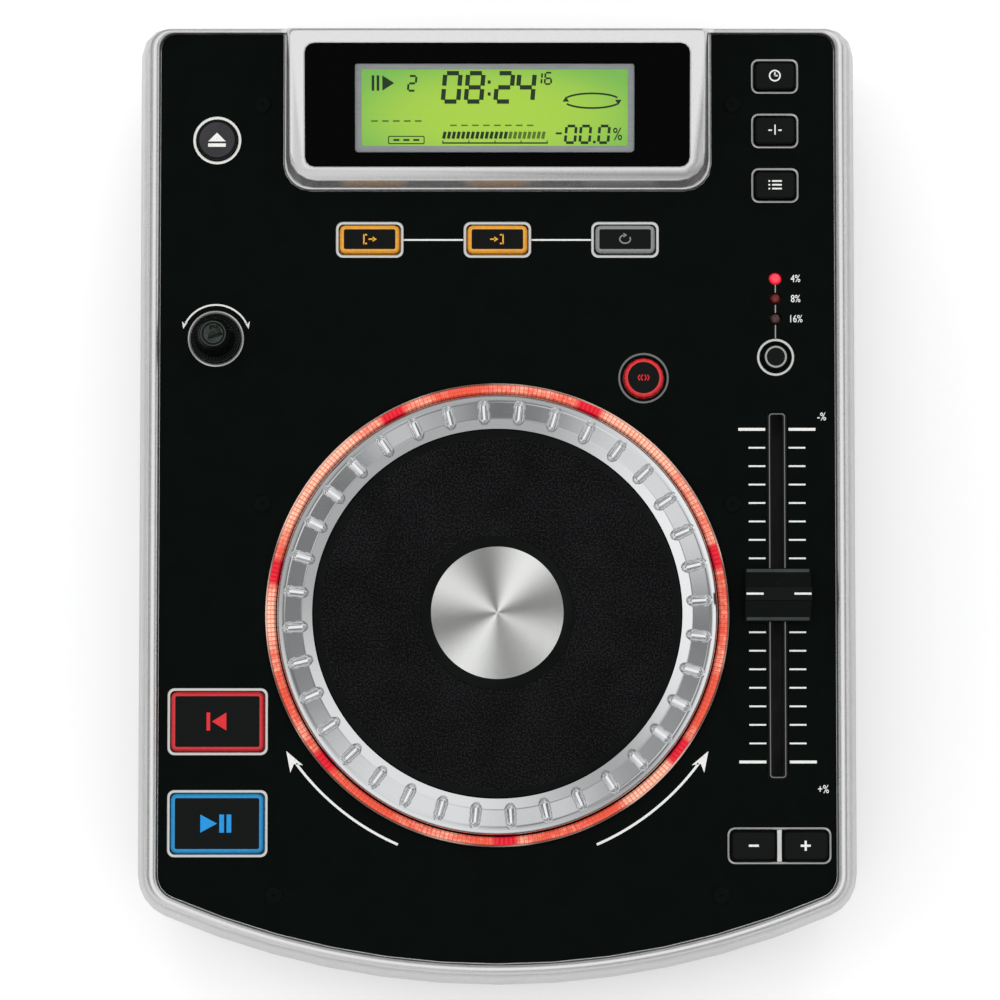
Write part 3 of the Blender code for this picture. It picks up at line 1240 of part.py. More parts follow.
def bay_face():
    """How far back the bay's floor faces."""
    return PLATE_BACK + RIM[1] + FLARE[1] - HOUSING_WALL - GAP - BAY_DEPTH


def make_rear_panel():
    """The recessed bay for the connectors, flanged behind the opening in the skirt."""
    rim = bay_face() + BAY_DEPTH
    wide, low, high = BAY_HALF_WIDTH, BAY_LOW, BAY_HIGH
    flange = BAY_FLANGE
    panel = block(
        "rear_panel",
        (-wide - flange, rim - BAY_SHEET, low - flange),
        (wide + flange, rim, high + flange),
        BLACK_STEEL,
    )
    sheet = BAY_SHEET
    outer = (wide + sheet, rim - SEAM_OVERLAP, high + sheet)
    join(panel, block("bay_walls", (-wide - sheet, bay_face() - sheet, low - sheet), outer))
    cut(panel, block("bay_space", (-wide, bay_face(), low), (wide, rim + OVERRUN, high)))
    inlet_x, inlet_z = INLET_PLACE
    near, far = bay_face() - sheet - OVERRUN, bay_face() + SEAM_OVERLAP
    middle_z = (BAY_LOW + BAY_HIGH) / 2
    hole = rounded_rectangle(INLET_WIDTH + 2 * GAP, INLET_HEIGHT + 2 * GAP, INLET_CORNER, CORNER_STEPS)
    cut(panel, facing_back("inlet_hole", [hole], near, far, None, (inlet_x, 0, inlet_z)))
    wide_hole = (ROCKER_WIDTH + 2 * RUNNING_GAP, ROCKER_HEIGHT + 2 * RUNNING_GAP)
    hole = rounded_rectangle(*wide_hole, SMALLEST_CORNER, 1)
    cut(panel, facing_back("rocker_hole", [hole], near, far, None, (ROCKER_X, 0, middle_z)))
    holes = [circle(JACK_RADIUS + GAP, SMALL_SIDES, (x, middle_z)) for x in jack_places()]
    cut(panel, facing_back("jack_holes", holes, near, far))


def jack_places():
    """Where the two audio sockets sit across the back."""
    return (JACK_X - JACK_PITCH / 2, JACK_X + JACK_PITCH / 2)


def make_connectors():
    """Mains inlet with two pins, power rocker and the pair of audio sockets."""
    x, z = INLET_PLACE
    place = (x, 0, z)
    face = bay_face() + GAP
    outer = face + INLET_FLANGE
    edge = 2 * INLET_FLANGE
    shapes = [
        rounded_rectangle(INLET_WIDTH + edge, INLET_HEIGHT + edge, INLET_CORNER, CORNER_STEPS),
        rounded_rectangle(INLET_WIDTH, INLET_HEIGHT, INLET_CORNER, CORNER_STEPS),
        rounded_rectangle(
            INLET_WIDTH - 2 * INLET_WALL, INLET_HEIGHT - 2 * INLET_WALL, INLET_CORNER, CORNER_STEPS
        ),
    ]
    inlet = facing_back("mains_inlet", [shapes[0]], face, outer, BLACK_PLASTIC, place)
    join(inlet, facing_back("inlet_body", [shapes[1]], face - INLET_DEPTH, face + SEAM_OVERLAP, None, place))
    cut(inlet, facing_back("inlet_recess", [shapes[2]], outer - INLET_RECESS, outer + OVERRUN, None, place))
    root = outer - INLET_RECESS
    pins = [circle(INLET_PIN_RADIUS, SMALL_SIDES, (side * INLET_PIN_PITCH / 2, 0)) for side in (-1, 1)]
    join(inlet, facing_back("inlet_pins", pins, root - SEAM_OVERLAP, root + INLET_PIN_LENGTH, None, place))
    radius = ROCKER_HEIGHT / 2
    side = arc((0, 0), radius, math.pi / 3, 5 * math.pi / 3, SMALL_SIDES) + [(ROCKER_DIP, 0)]
    middle_z = (BAY_LOW + BAY_HIGH) / 2
    pivot = (ROCKER_X, bay_face() - BAY_SHEET / 2, middle_z)
    half = ROCKER_WIDTH / 2
    upright = (math.pi / 2, 0, math.pi / 2)
    plate("power_rocker", [turned_about(side, ROCKER_SWING / 2)], -half, half, BLACK_PLASTIC, pivot, upright)
    back = bay_face() - BAY_SHEET - GAP
    wide, tall = JACK_PITCH, JACK_BLOCK_HEIGHT / 2
    jacks = block(
        "audio_sockets",
        (JACK_X - wide, back - JACK_BLOCK_DEPTH, middle_z - tall),
        (JACK_X + wide, back, middle_z + tall),
        BLACK_PLASTIC,
    )
    end = bay_face() + JACK_LENGTH
    barrels = [circle(JACK_RADIUS, SMALL_SIDES, (x, middle_z)) for x in jack_places()]
    join(jacks, facing_back("jack_barrels", barrels, back - SEAM_OVERLAP, end))
    bores = [circle(JACK_BORE, SMALL_SIDES, (x, middle_z)) for x in jack_places()]
    cut(jacks, facing_back("jack_bores", bores, end - JACK_LENGTH, end + OVERRUN))


def make_slot_bezel():
    """The curved trim of the disc slot, set a little into the bowed skirt."""
    outer = BOW_RADIUS + RIM[2] + FLARE[2] - SLOT_BEZEL_SINK
    half = math.asin((SLOT_HALF_WIDTH + SLOT_BEZEL_WIDTH) / outer)
    down = -math.pi / 2
    centre = (0, bow_centre())
    band = arc(centre, outer, down - half, down + half, BOW_STEPS)
    band += arc(centre, outer - SLOT_BEZEL_DEPTH, down + half, down - half, BOW_STEPS)
    tall = SLOT_HEIGHT / 2 + SLOT_BEZEL_WIDTH
    bezel = plate("slot_bezel", [band], DISC_PLANE - tall, DISC_PLANE + tall, BLACK_PLASTIC)
    low = (-SLOT_HALF_WIDTH, -outer, DISC_PLANE - SLOT_HEIGHT / 2)
    high = (SLOT_HALF_WIDTH, CHASSIS_FRONT + OVERRUN, DISC_PLANE + SLOT_HEIGHT / 2)
    cut(bezel, block("disc_slot", low, high))


def make_chassis():
    """Sheet chassis of the drive on four legs, its guide plate on top and the clamp puck in the plate."""
    half, sheet = CHASSIS_HALF_WIDTH, CHASSIS_SHEET
    chassis = block(
        "drive_chassis", (-half, CHASSIS_FRONT, CHASSIS_FLOOR), (half, CHASSIS_BACK, CHASSIS_TOP), STEEL
    )
    inside = (half - sheet, CHASSIS_BACK - sheet, CHASSIS_TOP + OVERRUN)
    space = (sheet - half, CHASSIS_FRONT - OVERRUN, CHASSIS_FLOOR + sheet)
    cut(chassis, block("chassis_space", space, inside))
    across = half - CHASSIS_LEG_INSET
    along = (CHASSIS_FRONT + CHASSIS_LEG_INSET, CHASSIS_BACK - CHASSIS_LEG_INSET)
    legs = both_sides([(across, y) for y in along])
    leg_top = CHASSIS_FLOOR + SEAM_OVERLAP
    join(chassis, pegs("chassis_legs", CHASSIS_LEG_RADIUS, PAN_FLOOR + GAP, leg_top, legs))
    for name, (y, z) in (("deck_pivot_holes", DECK_PIVOT), ("cradle_pivot_holes", CRADLE_PIVOT)):
        reach = half + OVERRUN
        cut(chassis, rod(name, PIVOT_RADIUS + GAP, (-reach, y, z), (reach, y, z)))
    low = CHASSIS_TOP + GAP
    corners = [(-half, CHASSIS_FRONT), (half, CHASSIS_FRONT), (half, CHASSIS_BACK), (-half, CHASSIS_BACK)]
    hole = circle(CLAMP_RADIUS + RUNNING_GAP, TURNED_STEPS, (0, SPINDLE_Y))
    plate("disc_guide_plate", [corners, hole], low, low + sheet, STEEL)
    rest = low + sheet + GAP
    puck = [
        (0, rest + CLAMP_FLANGE_THICKNESS),
        (CLAMP_FLANGE_RADIUS, rest + CLAMP_FLANGE_THICKNESS),
        (CLAMP_FLANGE_RADIUS, rest),
        (CLAMP_RADIUS, rest),
        (CLAMP_RADIUS, CLAMP_BOTTOM),
        (0, CLAMP_BOTTOM),
    ]
    turned("disc_clamp", puck, WHITE_PLASTIC, (0, SPINDLE_Y, 0), 2 * SMALL_SIDES)


def make_traverse_deck():
    """The deck that lifts the spindle to the disc: two trunnions at the back and lugs for the rods."""
    y, z = DECK_PIVOT
    half = DECK_THICKNESS / 2
    deck = block(
        "traverse_deck",
        (-DECK_HALF_WIDTH, DECK_FRONT, z - half),
        (DECK_HALF_WIDTH, y + PIVOT_RADIUS, z + half),
        BLACK_STEEL,
    )
    reach = CHASSIS_HALF_WIDTH
    join(deck, rod("deck_trunnions", PIVOT_RADIUS, (-reach, y, z), (reach, y, z)))
    for x, end in ((ROD_X, "rod"), (SCREW_X, "screw")):
        for edge, front in (("front", ROD_FRONT - LUG_THICKNESS), ("back", ROD_BACK)):
            low = (x - LUG_HALF_WIDTH, front, z + half - SEAM_OVERLAP)
            high = (x + LUG_HALF_WIDTH, front + LUG_THICKNESS, LUG_TOP)
            join(deck, block(f"{end}_lug_{edge}", low, high))
    for name, x, radius in (("rod_holes", ROD_X, ROD_RADIUS), ("screw_holes", SCREW_X, SCREW_RADIUS)):
        front, back = ROD_FRONT - OVERRUN, ROD_BACK + OVERRUN
        cut(deck, rod(name, radius + GAP, (x, front, ROD_Z), (x, back, ROD_Z)))
    front, back = ROD_FRONT - LUG_THICKNESS, ROD_BACK + LUG_THICKNESS
    rod("guide_rod", ROD_RADIUS, (ROD_X, front, ROD_Z), (ROD_X, back, ROD_Z), STEEL)
    rod("lead_screw", SCREW_RADIUS, (SCREW_X, front, ROD_Z), (SCREW_X, back, ROD_Z), BRONZE)


def make_spindle():
    """The motor on the deck and the hub that the disc snaps over."""
    place = (0, SPINDLE_Y, 0)
    low = DECK_PIVOT[1] + DECK_THICKNESS / 2 + GAP
    shaft_top = HUB_TABLE_TOP + HUB_CONE_HEIGHT / 2
    motor = [
        (0, shaft_top - GAP),
        (MOTOR_SHAFT_RADIUS, shaft_top - GAP),
        (MOTOR_SHAFT_RADIUS, low + MOTOR_HEIGHT),
        (MOTOR_RADIUS, low + MOTOR_HEIGHT),
        (MOTOR_RADIUS, low),
        (0, low),
    ]
    turned("spindle_motor", motor, STEEL, place, 2 * SMALL_SIDES)
    bore = MOTOR_SHAFT_RADIUS + GAP
    hub = [
        (0, HUB_TABLE_TOP + HUB_CONE_HEIGHT),
        (HUB_CONE_TOP_RADIUS, HUB_TABLE_TOP + HUB_CONE_HEIGHT),
        (HUB_CONE_RADIUS, HUB_TABLE_TOP),
        (HUB_TABLE_RADIUS, HUB_TABLE_TOP),
        (HUB_TABLE_RADIUS, HUB_TABLE_TOP - HUB_TABLE_THICKNESS),
        (HUB_CONE_TOP_RADIUS, HUB_TABLE_TOP - HUB_TABLE_THICKNESS),
        (HUB_CONE_TOP_RADIUS, low + MOTOR_HEIGHT + GAP),
        (bore, low + MOTOR_HEIGHT + GAP),
        (bore, shaft_top),
        (0, shaft_top),
    ]
    turned("turntable_hub", hub, WHITE_PLASTIC, place, 2 * SMALL_SIDES)


def make_pickup():
    """The optical sled, bored for its rod and its screw, with the lens on top."""
    wide, long = PICKUP_HALF_WIDTH, PICKUP_HALF_LENGTH
    low = (-wide, PICKUP_START - long, PICKUP_LOW)
    sled = block("optical_pickup", low, (wide, PICKUP_START + long, PICKUP_HIGH), BLACK_PLASTIC)
    lens_top = PICKUP_HIGH + LENS_HEIGHT
    join(sled, pegs("lens", LENS_RADIUS, PICKUP_HIGH - SEAM_OVERLAP, lens_top, [(0, PICKUP_START)]))
    for name, x, radius in (("rod_bore", ROD_X, ROD_RADIUS), ("screw_bore", SCREW_X, SCREW_RADIUS)):
        cut(sled, rod(name, radius + GAP, (x, ROD_FRONT, ROD_Z), (x, ROD_BACK, ROD_Z)))


def make_cradle():
    """The rubber feed roller in its lifting cradle behind the slot."""
    y, z = CRADLE_PIVOT
    reach = CHASSIS_HALF_WIDTH
    cradle = rod("roller_cradle", CRADLE_BAR_RADIUS, (-reach, y, z), (reach, y, z), BLACK_STEEL)
    axle_y = y - CRADLE_ARM
    thick, tall = CRADLE_ARM_THICKNESS, CRADLE_BAR_RADIUS
    outer = DECK_HALF_WIDTH
    for side in (-1, 1):
        ends = sorted((side * outer, side * (outer - thick)))
        low = (ends[0], axle_y - tall - ROLLER_AXLE_RADIUS, z - tall - SEAM_OVERLAP)
        high = (ends[1], y + tall + SEAM_OVERLAP, z + tall + SEAM_OVERLAP)
        join(cradle, block(f"cradle_arm_{ends[0] > 0}", low, high))
    hole_reach = outer + OVERRUN
    hole = (-hole_reach, axle_y, z), (hole_reach, axle_y, z)
    cut(cradle, rod("axle_holes", ROLLER_AXLE_RADIUS + GAP, *hole))
    drum = outer - thick - RUNNING_GAP
    roller = rod("feed_roller", ROLLER_RADIUS, (-drum, axle_y, z), (drum, axle_y, z), RUBBER)
    join(roller, rod("roller_axle", ROLLER_AXLE_RADIUS, (-outer, axle_y, z), (outer, axle_y, z)))


def main():
    """Clears the scene and builds every piece."""
    for old in list(bpy.data.objects):
        bpy.data.objects.remove(old)
    axis = carrier(WHEEL_AXIS, (0, WHEEL_AXIS_Y, 0))
    middle = (hood_front() + hood_back()) / 2
    carrier(HOOD_FACE, (0, middle, hood_top(middle)), (hood_slope(), 0, 0), axis)
    make_upper_housing()
    make_faceplate()
    make_display()
    make_buttons()
    make_lamps()
    make_track_knob()
    make_fader()
    make_jog_rim()
    make_jog_disc()
    make_jog_bearing()
    make_control_board()
    make_base()
    make_rear_board("main_board", MAIN_BOARD_X, MAIN_BOARD_SHARES, CIRCUIT_GREEN)
    make_rear_board("power_supply", POWER_BOARD_X, POWER_BOARD_SHARES, CIRCUIT_GREEN)
    make_rear_panel()
    make_connectors()
    make_slot_bezel()
    make_chassis()
    make_traverse_deck()
    make_spindle()
    make_pickup()
    make_cradle()
    bpy.context.view_layer.update()


main()
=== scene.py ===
"""The looks of a tabletop DJ CD player: its finishes, printed marks, bezels, lenses and small fittings.

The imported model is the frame. Every piece made here lies on it and rides on one of its bodies. The sizes in
the classes are millimetres, measured from the jog wheel's axis (X to the right, Y to the back) and from the
table (Z up), as on a maker's drawing of the faceplate.
"""

from __future__ import annotations

import json
import logging
import math
from dataclasses import dataclass
from enum import Enum
from functools import cache
from typing import Any, Callable, Iterable, Mapping, Sequence, Union

import bmesh
import bpy
from mathutils import Matrix, Vector

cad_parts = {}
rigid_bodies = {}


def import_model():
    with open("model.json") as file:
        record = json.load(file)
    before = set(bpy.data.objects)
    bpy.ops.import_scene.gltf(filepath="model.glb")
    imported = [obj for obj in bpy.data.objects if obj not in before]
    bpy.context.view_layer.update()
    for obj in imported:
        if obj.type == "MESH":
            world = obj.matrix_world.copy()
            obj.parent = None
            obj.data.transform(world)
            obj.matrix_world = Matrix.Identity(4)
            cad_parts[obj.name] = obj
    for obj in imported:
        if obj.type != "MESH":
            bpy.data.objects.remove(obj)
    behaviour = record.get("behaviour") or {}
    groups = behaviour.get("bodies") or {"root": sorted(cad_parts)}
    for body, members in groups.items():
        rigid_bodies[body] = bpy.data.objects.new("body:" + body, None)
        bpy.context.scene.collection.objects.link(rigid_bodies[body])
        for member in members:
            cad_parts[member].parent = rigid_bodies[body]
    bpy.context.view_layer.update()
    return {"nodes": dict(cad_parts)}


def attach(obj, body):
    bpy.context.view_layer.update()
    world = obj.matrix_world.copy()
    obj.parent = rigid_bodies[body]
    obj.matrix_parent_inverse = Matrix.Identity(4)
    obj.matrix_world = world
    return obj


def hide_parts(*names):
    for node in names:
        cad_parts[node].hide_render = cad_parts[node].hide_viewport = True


for leftover in list(bpy.data.objects):
    bpy.data.objects.remove(leftover)
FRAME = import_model()

LOG = logging.getLogger("player")
MM = 0.001
WHEEL_AXIS = Vector((0.0, -0.0345, 0.0))
PANEL_TOP = 80.0
BEZEL_LOW = PANEL_TOP - 0.2
INK_LOW = 80.0
INK_HIGH = 80.05
INK_ROOT = 0.02
FIGURE_SHARE = 0.73
FIGURE_BOLDER = 0.008
FIGURE_NARROW = 0.8
RECESS_WIDTH = 0.4
CORNER_STEPS = 5
ROLL_STEPS = 8
SAME_POINT = 0.001
WELD_REACH = 0.002
BEVEL_FROM = 40
SHARP_FROM = 38
FADER_MIDDLE = (84.1, 5.85)
KNOB_AXIS = (-84.8, 83.2)
SCREEN_MIDDLE = (-0.8, 152.0)

Piece = bpy.types.Object
Material = bpy.types.Material
Pair = tuple[float, float]
Pairs = Sequence[Pair]
Point = tuple[float, float, float]
Colour = tuple[float, float, float]
Number = Union[float, "Signal"]


def math_node(operation: str, swapped: bool = False) -> Callable[..., Signal]:
    """An operator that adds one Math node to a material, with its two numbers swapped if need be."""

    def operator(self: Signal, *others: Number) -> Signal:
        """The number that the node gives."""
        values = (self, *others)
        return self.graph.maths(operation, *(values[::-1] if swapped else values))

    return operator


class Signal:
    """A number on its way through a material's nodes, which adds a Math node for each operator.

    The result of a comparison is 1 where it holds and 0 elsewhere, and % is never negative.
    """

    def __init__(self, graph: Graph, socket: bpy.types.NodeSocket) -> None:
        """Keeps the node graph and the output socket that carries the number."""
        self.graph = graph
        self.socket = socket

    __add__ = math_node("ADD")
    __radd__ = math_node("ADD", swapped=True)
    __sub__ = math_node("SUBTRACT")
    __rsub__ = math_node("SUBTRACT", swapped=True)
    __mul__ = math_node("MULTIPLY")
    __truediv__ = math_node("DIVIDE")
    __mod__ = math_node("FLOORED_MODULO")
    __abs__ = math_node("ABSOLUTE")
    __gt__ = math_node("GREATER_THAN")
    __lt__ = math_node("LESS_THAN")

    def eased(self, low: float, high: float) -> Signal:
        """A soft step, still 0 at the first number and 1 at the second, which may be the lower one."""
        settings = {"interpolation_type": "SMOOTHSTEP"}
        return self.graph.add("ShaderNodeMapRange", settings, {0: self, 1: low, 2: high}, "Result")


class Graph:
    """The node graph of one material."""

    def __init__(self, name: str) -> None:
        """Starts an empty material of this name."""
        self.material = bpy.data.materials.new(name)
        self.material.use_nodes = True
        self.tree = self.material.node_tree
        self.tree.nodes.clear()

    @classmethod
    def of_world(cls, world: bpy.types.World) -> Graph:
        """The graph of a world instead of a material."""
        graph = cls.__new__(cls)
        graph.material, graph.tree = None, world.node_tree
        return graph

    def add(
        self,
        kind: str,
        settings: Mapping[str, Any] | None = None,
        inputs: Mapping[Union[int, str], Any] | None = None,
        output: Union[int, str] = 0,
    ) -> Signal:
        """Adds one node.

        Args:
            kind: The node's type name.
            settings: The node's own settings, which are set first.
            inputs: Values or signals by the socket's number, identifier or name.
            output: The socket to carry on from, the same way.

        Returns:
            The chosen output.
        """
        node = self.tree.nodes.new(kind)
        for key, value in (settings or {}).items():
            setattr(node, key, value)
        for key, value in (inputs or {}).items():
            socket = self.pick(node.inputs, key)
            if isinstance(value, Signal):
                self.tree.links.new(value.socket, socket)
            else:
                socket.default_value = value
        return Signal(self, self.pick(node.outputs, output) if len(node.outputs) else None)

    @staticmethod
    def pick(sockets: Any, key: Union[int, str]) -> bpy.types.NodeSocket:
        """A socket by its number, or else by its identifier or name."""
        if isinstance(key, int):
            return sockets[key]
        return next((s for s in sockets if s.identifier == key), None) or sockets[key]

    def maths(self, operation: str, *values: Number) -> Signal:
        """One Math node of these values."""
        return self.add("ShaderNodeMath", {"operation": operation}, dict(enumerate(values)))

    def blend(self, share: Number, first: Any, second: Any) -> Signal:
        """A colour between two.

        Args:
            share: How much of the second colour there is, from 0 to 1.
            first: A colour or a signal.
            second: A colour or a signal.

        Returns:
            The blended colour.
        """
        ends = [c if isinstance(c, Signal) else (*c, 1.0) for c in (first, second)]
        inputs = {"Factor_Float": share, "A_Color": ends[0], "B_Color": ends[1]}
        return self.add("ShaderNodeMix", {"data_type": "RGBA"}, inputs, "Result_Color")

    def place(self) -> Signal:
        """The point on the piece, in metres in the frame at rest."""
        return self.add("ShaderNodeTexCoord", output="Object")

    def axes(self, origin: Point = (0.0, 0.0, 0.0)) -> tuple[Signal, Signal, Signal]:
        """The point's three coordinates.

        Args:
            origin: Where they are measured from, in millimetres from the wheel's axis.

        Returns:
            X, Y and Z in millimetres.
        """
        centre = WHEEL_AXIS + Vector(origin) * MM
        moved = self.add("ShaderNodeVectorMath", {"operation": "SUBTRACT"}, {0: self.place(), 1: centre})
        split = self.add("ShaderNodeSeparateXYZ", inputs={0: moved})
        outputs = split.socket.node.outputs
        return tuple(Signal(self, outputs[i]) * (1 / MM) for i in range(3))

    def noise(self, size: float, detail: float = 2.0, stretch: Point = (1.0, 1.0, 1.0)) -> Signal:
        """Soft random spots.

        Args:
            size: About how wide a spot is, in millimetres.
            detail: How many finer layers there are.
            stretch: How many times longer a spot is along each axis.

        Returns:
            The noise, around one half.
        """
        scaled = {0: self.place(), 1: tuple(1 / s for s in stretch)}
        place = self.add("ShaderNodeVectorMath", {"operation": "MULTIPLY"}, scaled)
        inputs = {"Vector": place, "Scale": 1 / (size * MM), "Detail": detail}
        return self.add("ShaderNodeTexNoise", inputs=inputs)

    def cells(self, size: float) -> Signal:
        """The distance to scattered points that lie about that many millimetres apart."""
        inputs = {"Vector": self.place(), "Scale": 1 / (size * MM)}
        return self.add("ShaderNodeTexVoronoi", inputs=inputs, output="Distance")

    def bump(self, height: Number, depth: float) -> Signal:
        """A surface normal from a height, where 1 stands for so many millimetres."""
        inputs = {"Strength": 1.0, "Distance": depth * MM, "Height": height}
        return self.add("ShaderNodeBump", inputs=inputs)

    def surface(self, colour: Any, roughness: Number, **others: Any) -> Material:
        """Finishes the material with one surface shader.

        Args:
            colour: The base colour, or a signal.
            roughness: From 0, polished, to 1.
            others: More sockets of the shader, by name with _ for a space.

        Returns:
            The material.
        """
        inputs = {name.replace("_", " "): value for name, value in others.items()}
        for name, value in (("Base Color", colour), ("Emission Color", inputs.get("Emission Color"))):
            if value is not None:
                inputs[name] = value if isinstance(value, Signal) else (*value, 1.0)
        shader = self.add("ShaderNodeBsdfPrincipled", inputs={**inputs, "Roughness": roughness})
        self.add("ShaderNodeOutputMaterial", inputs={"Surface": shader})
        return self.material


@dataclass(frozen=True)
class Finish:
    """What a surface is made of.

    Attributes:
        name: The finish in a maker's words.
        colour: Its base colour.
        roughness: From 0, polished, to 1.
    """

    name: str
    colour: Colour
    roughness: float

    def painted(self, graph: Graph) -> Material:
        """Fills the material's graph. Each kind of finish has its own."""
        raise NotImplementedError

    def toned(self, factor: float) -> Colour:
        """The base colour, so many times brighter."""
        return tuple(min(1.0, c * factor) for c in self.colour)

    def material(self) -> Material:
        """The material, made once for each finish."""
        return made(self)


@cache
def made(finish: Finish) -> Material:
    """A finish's material, the same one each time."""
    return finish.painted(Graph(finish.name))


@dataclass(frozen=True)
class Lacquer(Finish):
    """Silver or black lacquer with fine metal flake, a little orange peel and rubbed, duller places.

    Attributes:
        metallic: How much of the shine is metal.
        flake: How much the flakes differ in brightness.
        peel: Depth of the orange peel in millimetres.
    """

    metallic: float = 0.85
    flake: float = 0.08
    peel: float = 0.004

    def painted(self, graph: Graph) -> Material:
        """Flakes in the colour, haze in the roughness and orange peel in the normal."""
        flakes = graph.noise(0.12, 1.0)
        haze = graph.noise(18.0, 4.0)
        dark, bright = self.toned(1 - self.flake), self.toned(1 + self.flake)
        colour = graph.blend((flakes * 0.85 + haze * 0.15).eased(0.35, 0.65), dark, bright)
        roughness = self.roughness + (haze - 0.5) * 0.05 + (flakes - 0.5) * 0.05
        normal = graph.bump(graph.noise(0.7, 2.0), self.peel)
        return graph.surface(colour, roughness, Metallic=self.metallic, Normal=normal)


@dataclass(frozen=True)
class Moulding(Finish):
    """Moulded plastic with spark-eroded grain, slight shading and handled, glossier places.

    Attributes:
        grain: Width of the grain in millimetres.
        depth: Depth of the grain in millimetres.
        specular: The strength of its shine, 0.5 for plain plastic.
        mottle: How much the colour varies.
    """

    grain: float = 0.25
    depth: float = 0.02
    specular: float = 0.4
    mottle: float = 0.15

    def painted(self, graph: Graph) -> Material:
        """Grain in the normal, and handling in the colour and the roughness."""
        grain = graph.noise(self.grain, 2.0)
        touched = graph.noise(9.0, 3.0)
        dark, light = self.toned(1 - self.mottle), self.toned(1 + self.mottle)
        colour = graph.blend(touched.eased(0.3, 0.7), dark, light)
        roughness = self.roughness + (touched - 0.5) * 0.16 + (grain - 0.5) * 0.1
        normal = graph.bump(grain, self.depth)
        return graph.surface(colour, roughness, Specular_IOR_Level=self.specular, Normal=normal)


@dataclass(frozen=True)
class PebbleTop(Finish):
    """The coarse pebbled skin on top of the jog disc, with bare turned edges.

    Attributes:
        pebble: Width of a pebble in millimetres.
        depth: Height of a pebble in millimetres.
        paler: How many times paler a painted highlight on a pebble's top is than the skin between.
    """

    pebble: float = 0.8
    depth: float = 0.16
    paler: float = 9.0

    def painted(self, graph: Graph) -> Material:
        """Pebbles in the normal, and painted glints of highlight in the colour."""
        pebbles = graph.cells(self.pebble)
        grit_and_glints = graph.noise(0.5, 2.0)
        patches = graph.noise(14.0, 3.0)
        # Painted highlight: paler spots that follow the grit stand in for glints on the pebbles.
        share = (grit_and_glints * 0.85 + patches * 0.15).eased(0.44, 0.66)
        colour = graph.blend(share, self.colour, self.toned(self.paler))
        height = (1.0 - pebbles) * 0.6 + grit_and_glints * 0.4
        roughness = self.roughness + (grit_and_glints - 0.5) * 0.2
        normal = graph.bump(height, self.depth)
        return graph.surface(colour, roughness, Specular_IOR_Level=0.06, Normal=normal)


@dataclass(frozen=True)
class SpunMetal(Finish):
    """Metal with the rings that a lathe tool leaves, about a vertical axis.

    Attributes:
        centre: The axis, in millimetres from the wheel's.
        pitch: Width of a tool ring in millimetres.
        depth: Depth of a ring in millimetres.
        dark: The colour of the stains, and of the deeper rings, where it is painted shade.
    """

    centre: Pair = (0.0, 0.0)
    pitch: float = 0.16
    depth: float = 0.03
    dark: Colour = (0.42, 0.42, 0.43)

    def painted(self, graph: Graph) -> Material:
        """Rings of uneven depth in the normal; stains and painted shade in the deeper rings in the colour."""
        x, y, _ = graph.axes((*self.centre, 0.0))
        radius = graph.maths("SQRT", x * x + y * y)
        across = graph.add("ShaderNodeCombineXYZ", inputs={0: radius / self.pitch})
        uneven = graph.add("ShaderNodeTexNoise", inputs={"Vector": across, "Scale": 1.0, "Detail": 3.0})
        rings = graph.maths("SINE", radius * (2 * math.pi / self.pitch)) * 0.5 + 0.5
        height = rings * 0.5 + uneven * 0.5
        stain = graph.noise(7.0, 3.0)
        # Painted shade: the deeper rings turn darker, mixed with stains.
        colour = graph.blend((uneven * 0.7 + stain * 0.3).eased(0.25, 0.6), self.dark, self.colour)
        roughness = self.roughness + (uneven - 0.5) * 0.12 + (stain - 0.5) * 0.06
        return graph.surface(colour, roughness, Metallic=1.0, Normal=graph.bump(height, self.depth))


@dataclass(frozen=True)
class SheetMetal(Finish):
    """Rolled or powder-coated sheet, with the lines of its rolling and small scuffs.

    Attributes:
        metallic: How much of the shine is metal.
        along: How many times longer the marks are than wide, along X, Y and Z.
        depth: Depth of the marks in millimetres.
    """

    metallic: float = 1.0
    along: Point = (30.0, 1.0, 1.0)
    depth: float = 0.01

    def painted(self, graph: Graph) -> Material:
        """Rolling lines in colour and normal, and scuffs in the roughness."""
        lines = graph.noise(0.4, 3.0, self.along)
        scuffs = graph.noise(6.0, 4.0)
        share = (lines * 0.6 + scuffs * 0.4).eased(0.3, 0.65)
        colour = graph.blend(share, self.toned(0.78), self.colour)
        roughness = self.roughness + (scuffs - 0.5) * 0.25 + (lines - 0.5) * 0.15
        normal = graph.bump(lines, self.depth)
        return graph.surface(colour, roughness, Metallic=self.metallic, Normal=normal)


@dataclass(frozen=True)
class Ink(Finish):
    """Screen-printed ink, a little thin and uneven."""

    def painted(self, graph: Graph) -> Material:
        """The mesh of the screen in the normal, and thin spots in the colour."""
        thin = graph.noise(0.5, 3.0)
        colour = graph.blend(thin.eased(0.25, 0.5), self.toned(0.8), self.colour)
        roughness = self.roughness + (thin - 0.5) * 0.15
        return graph.surface(colour, roughness, Specular_IOR_Level=0.3, Normal=graph.bump(thin, 0.01))


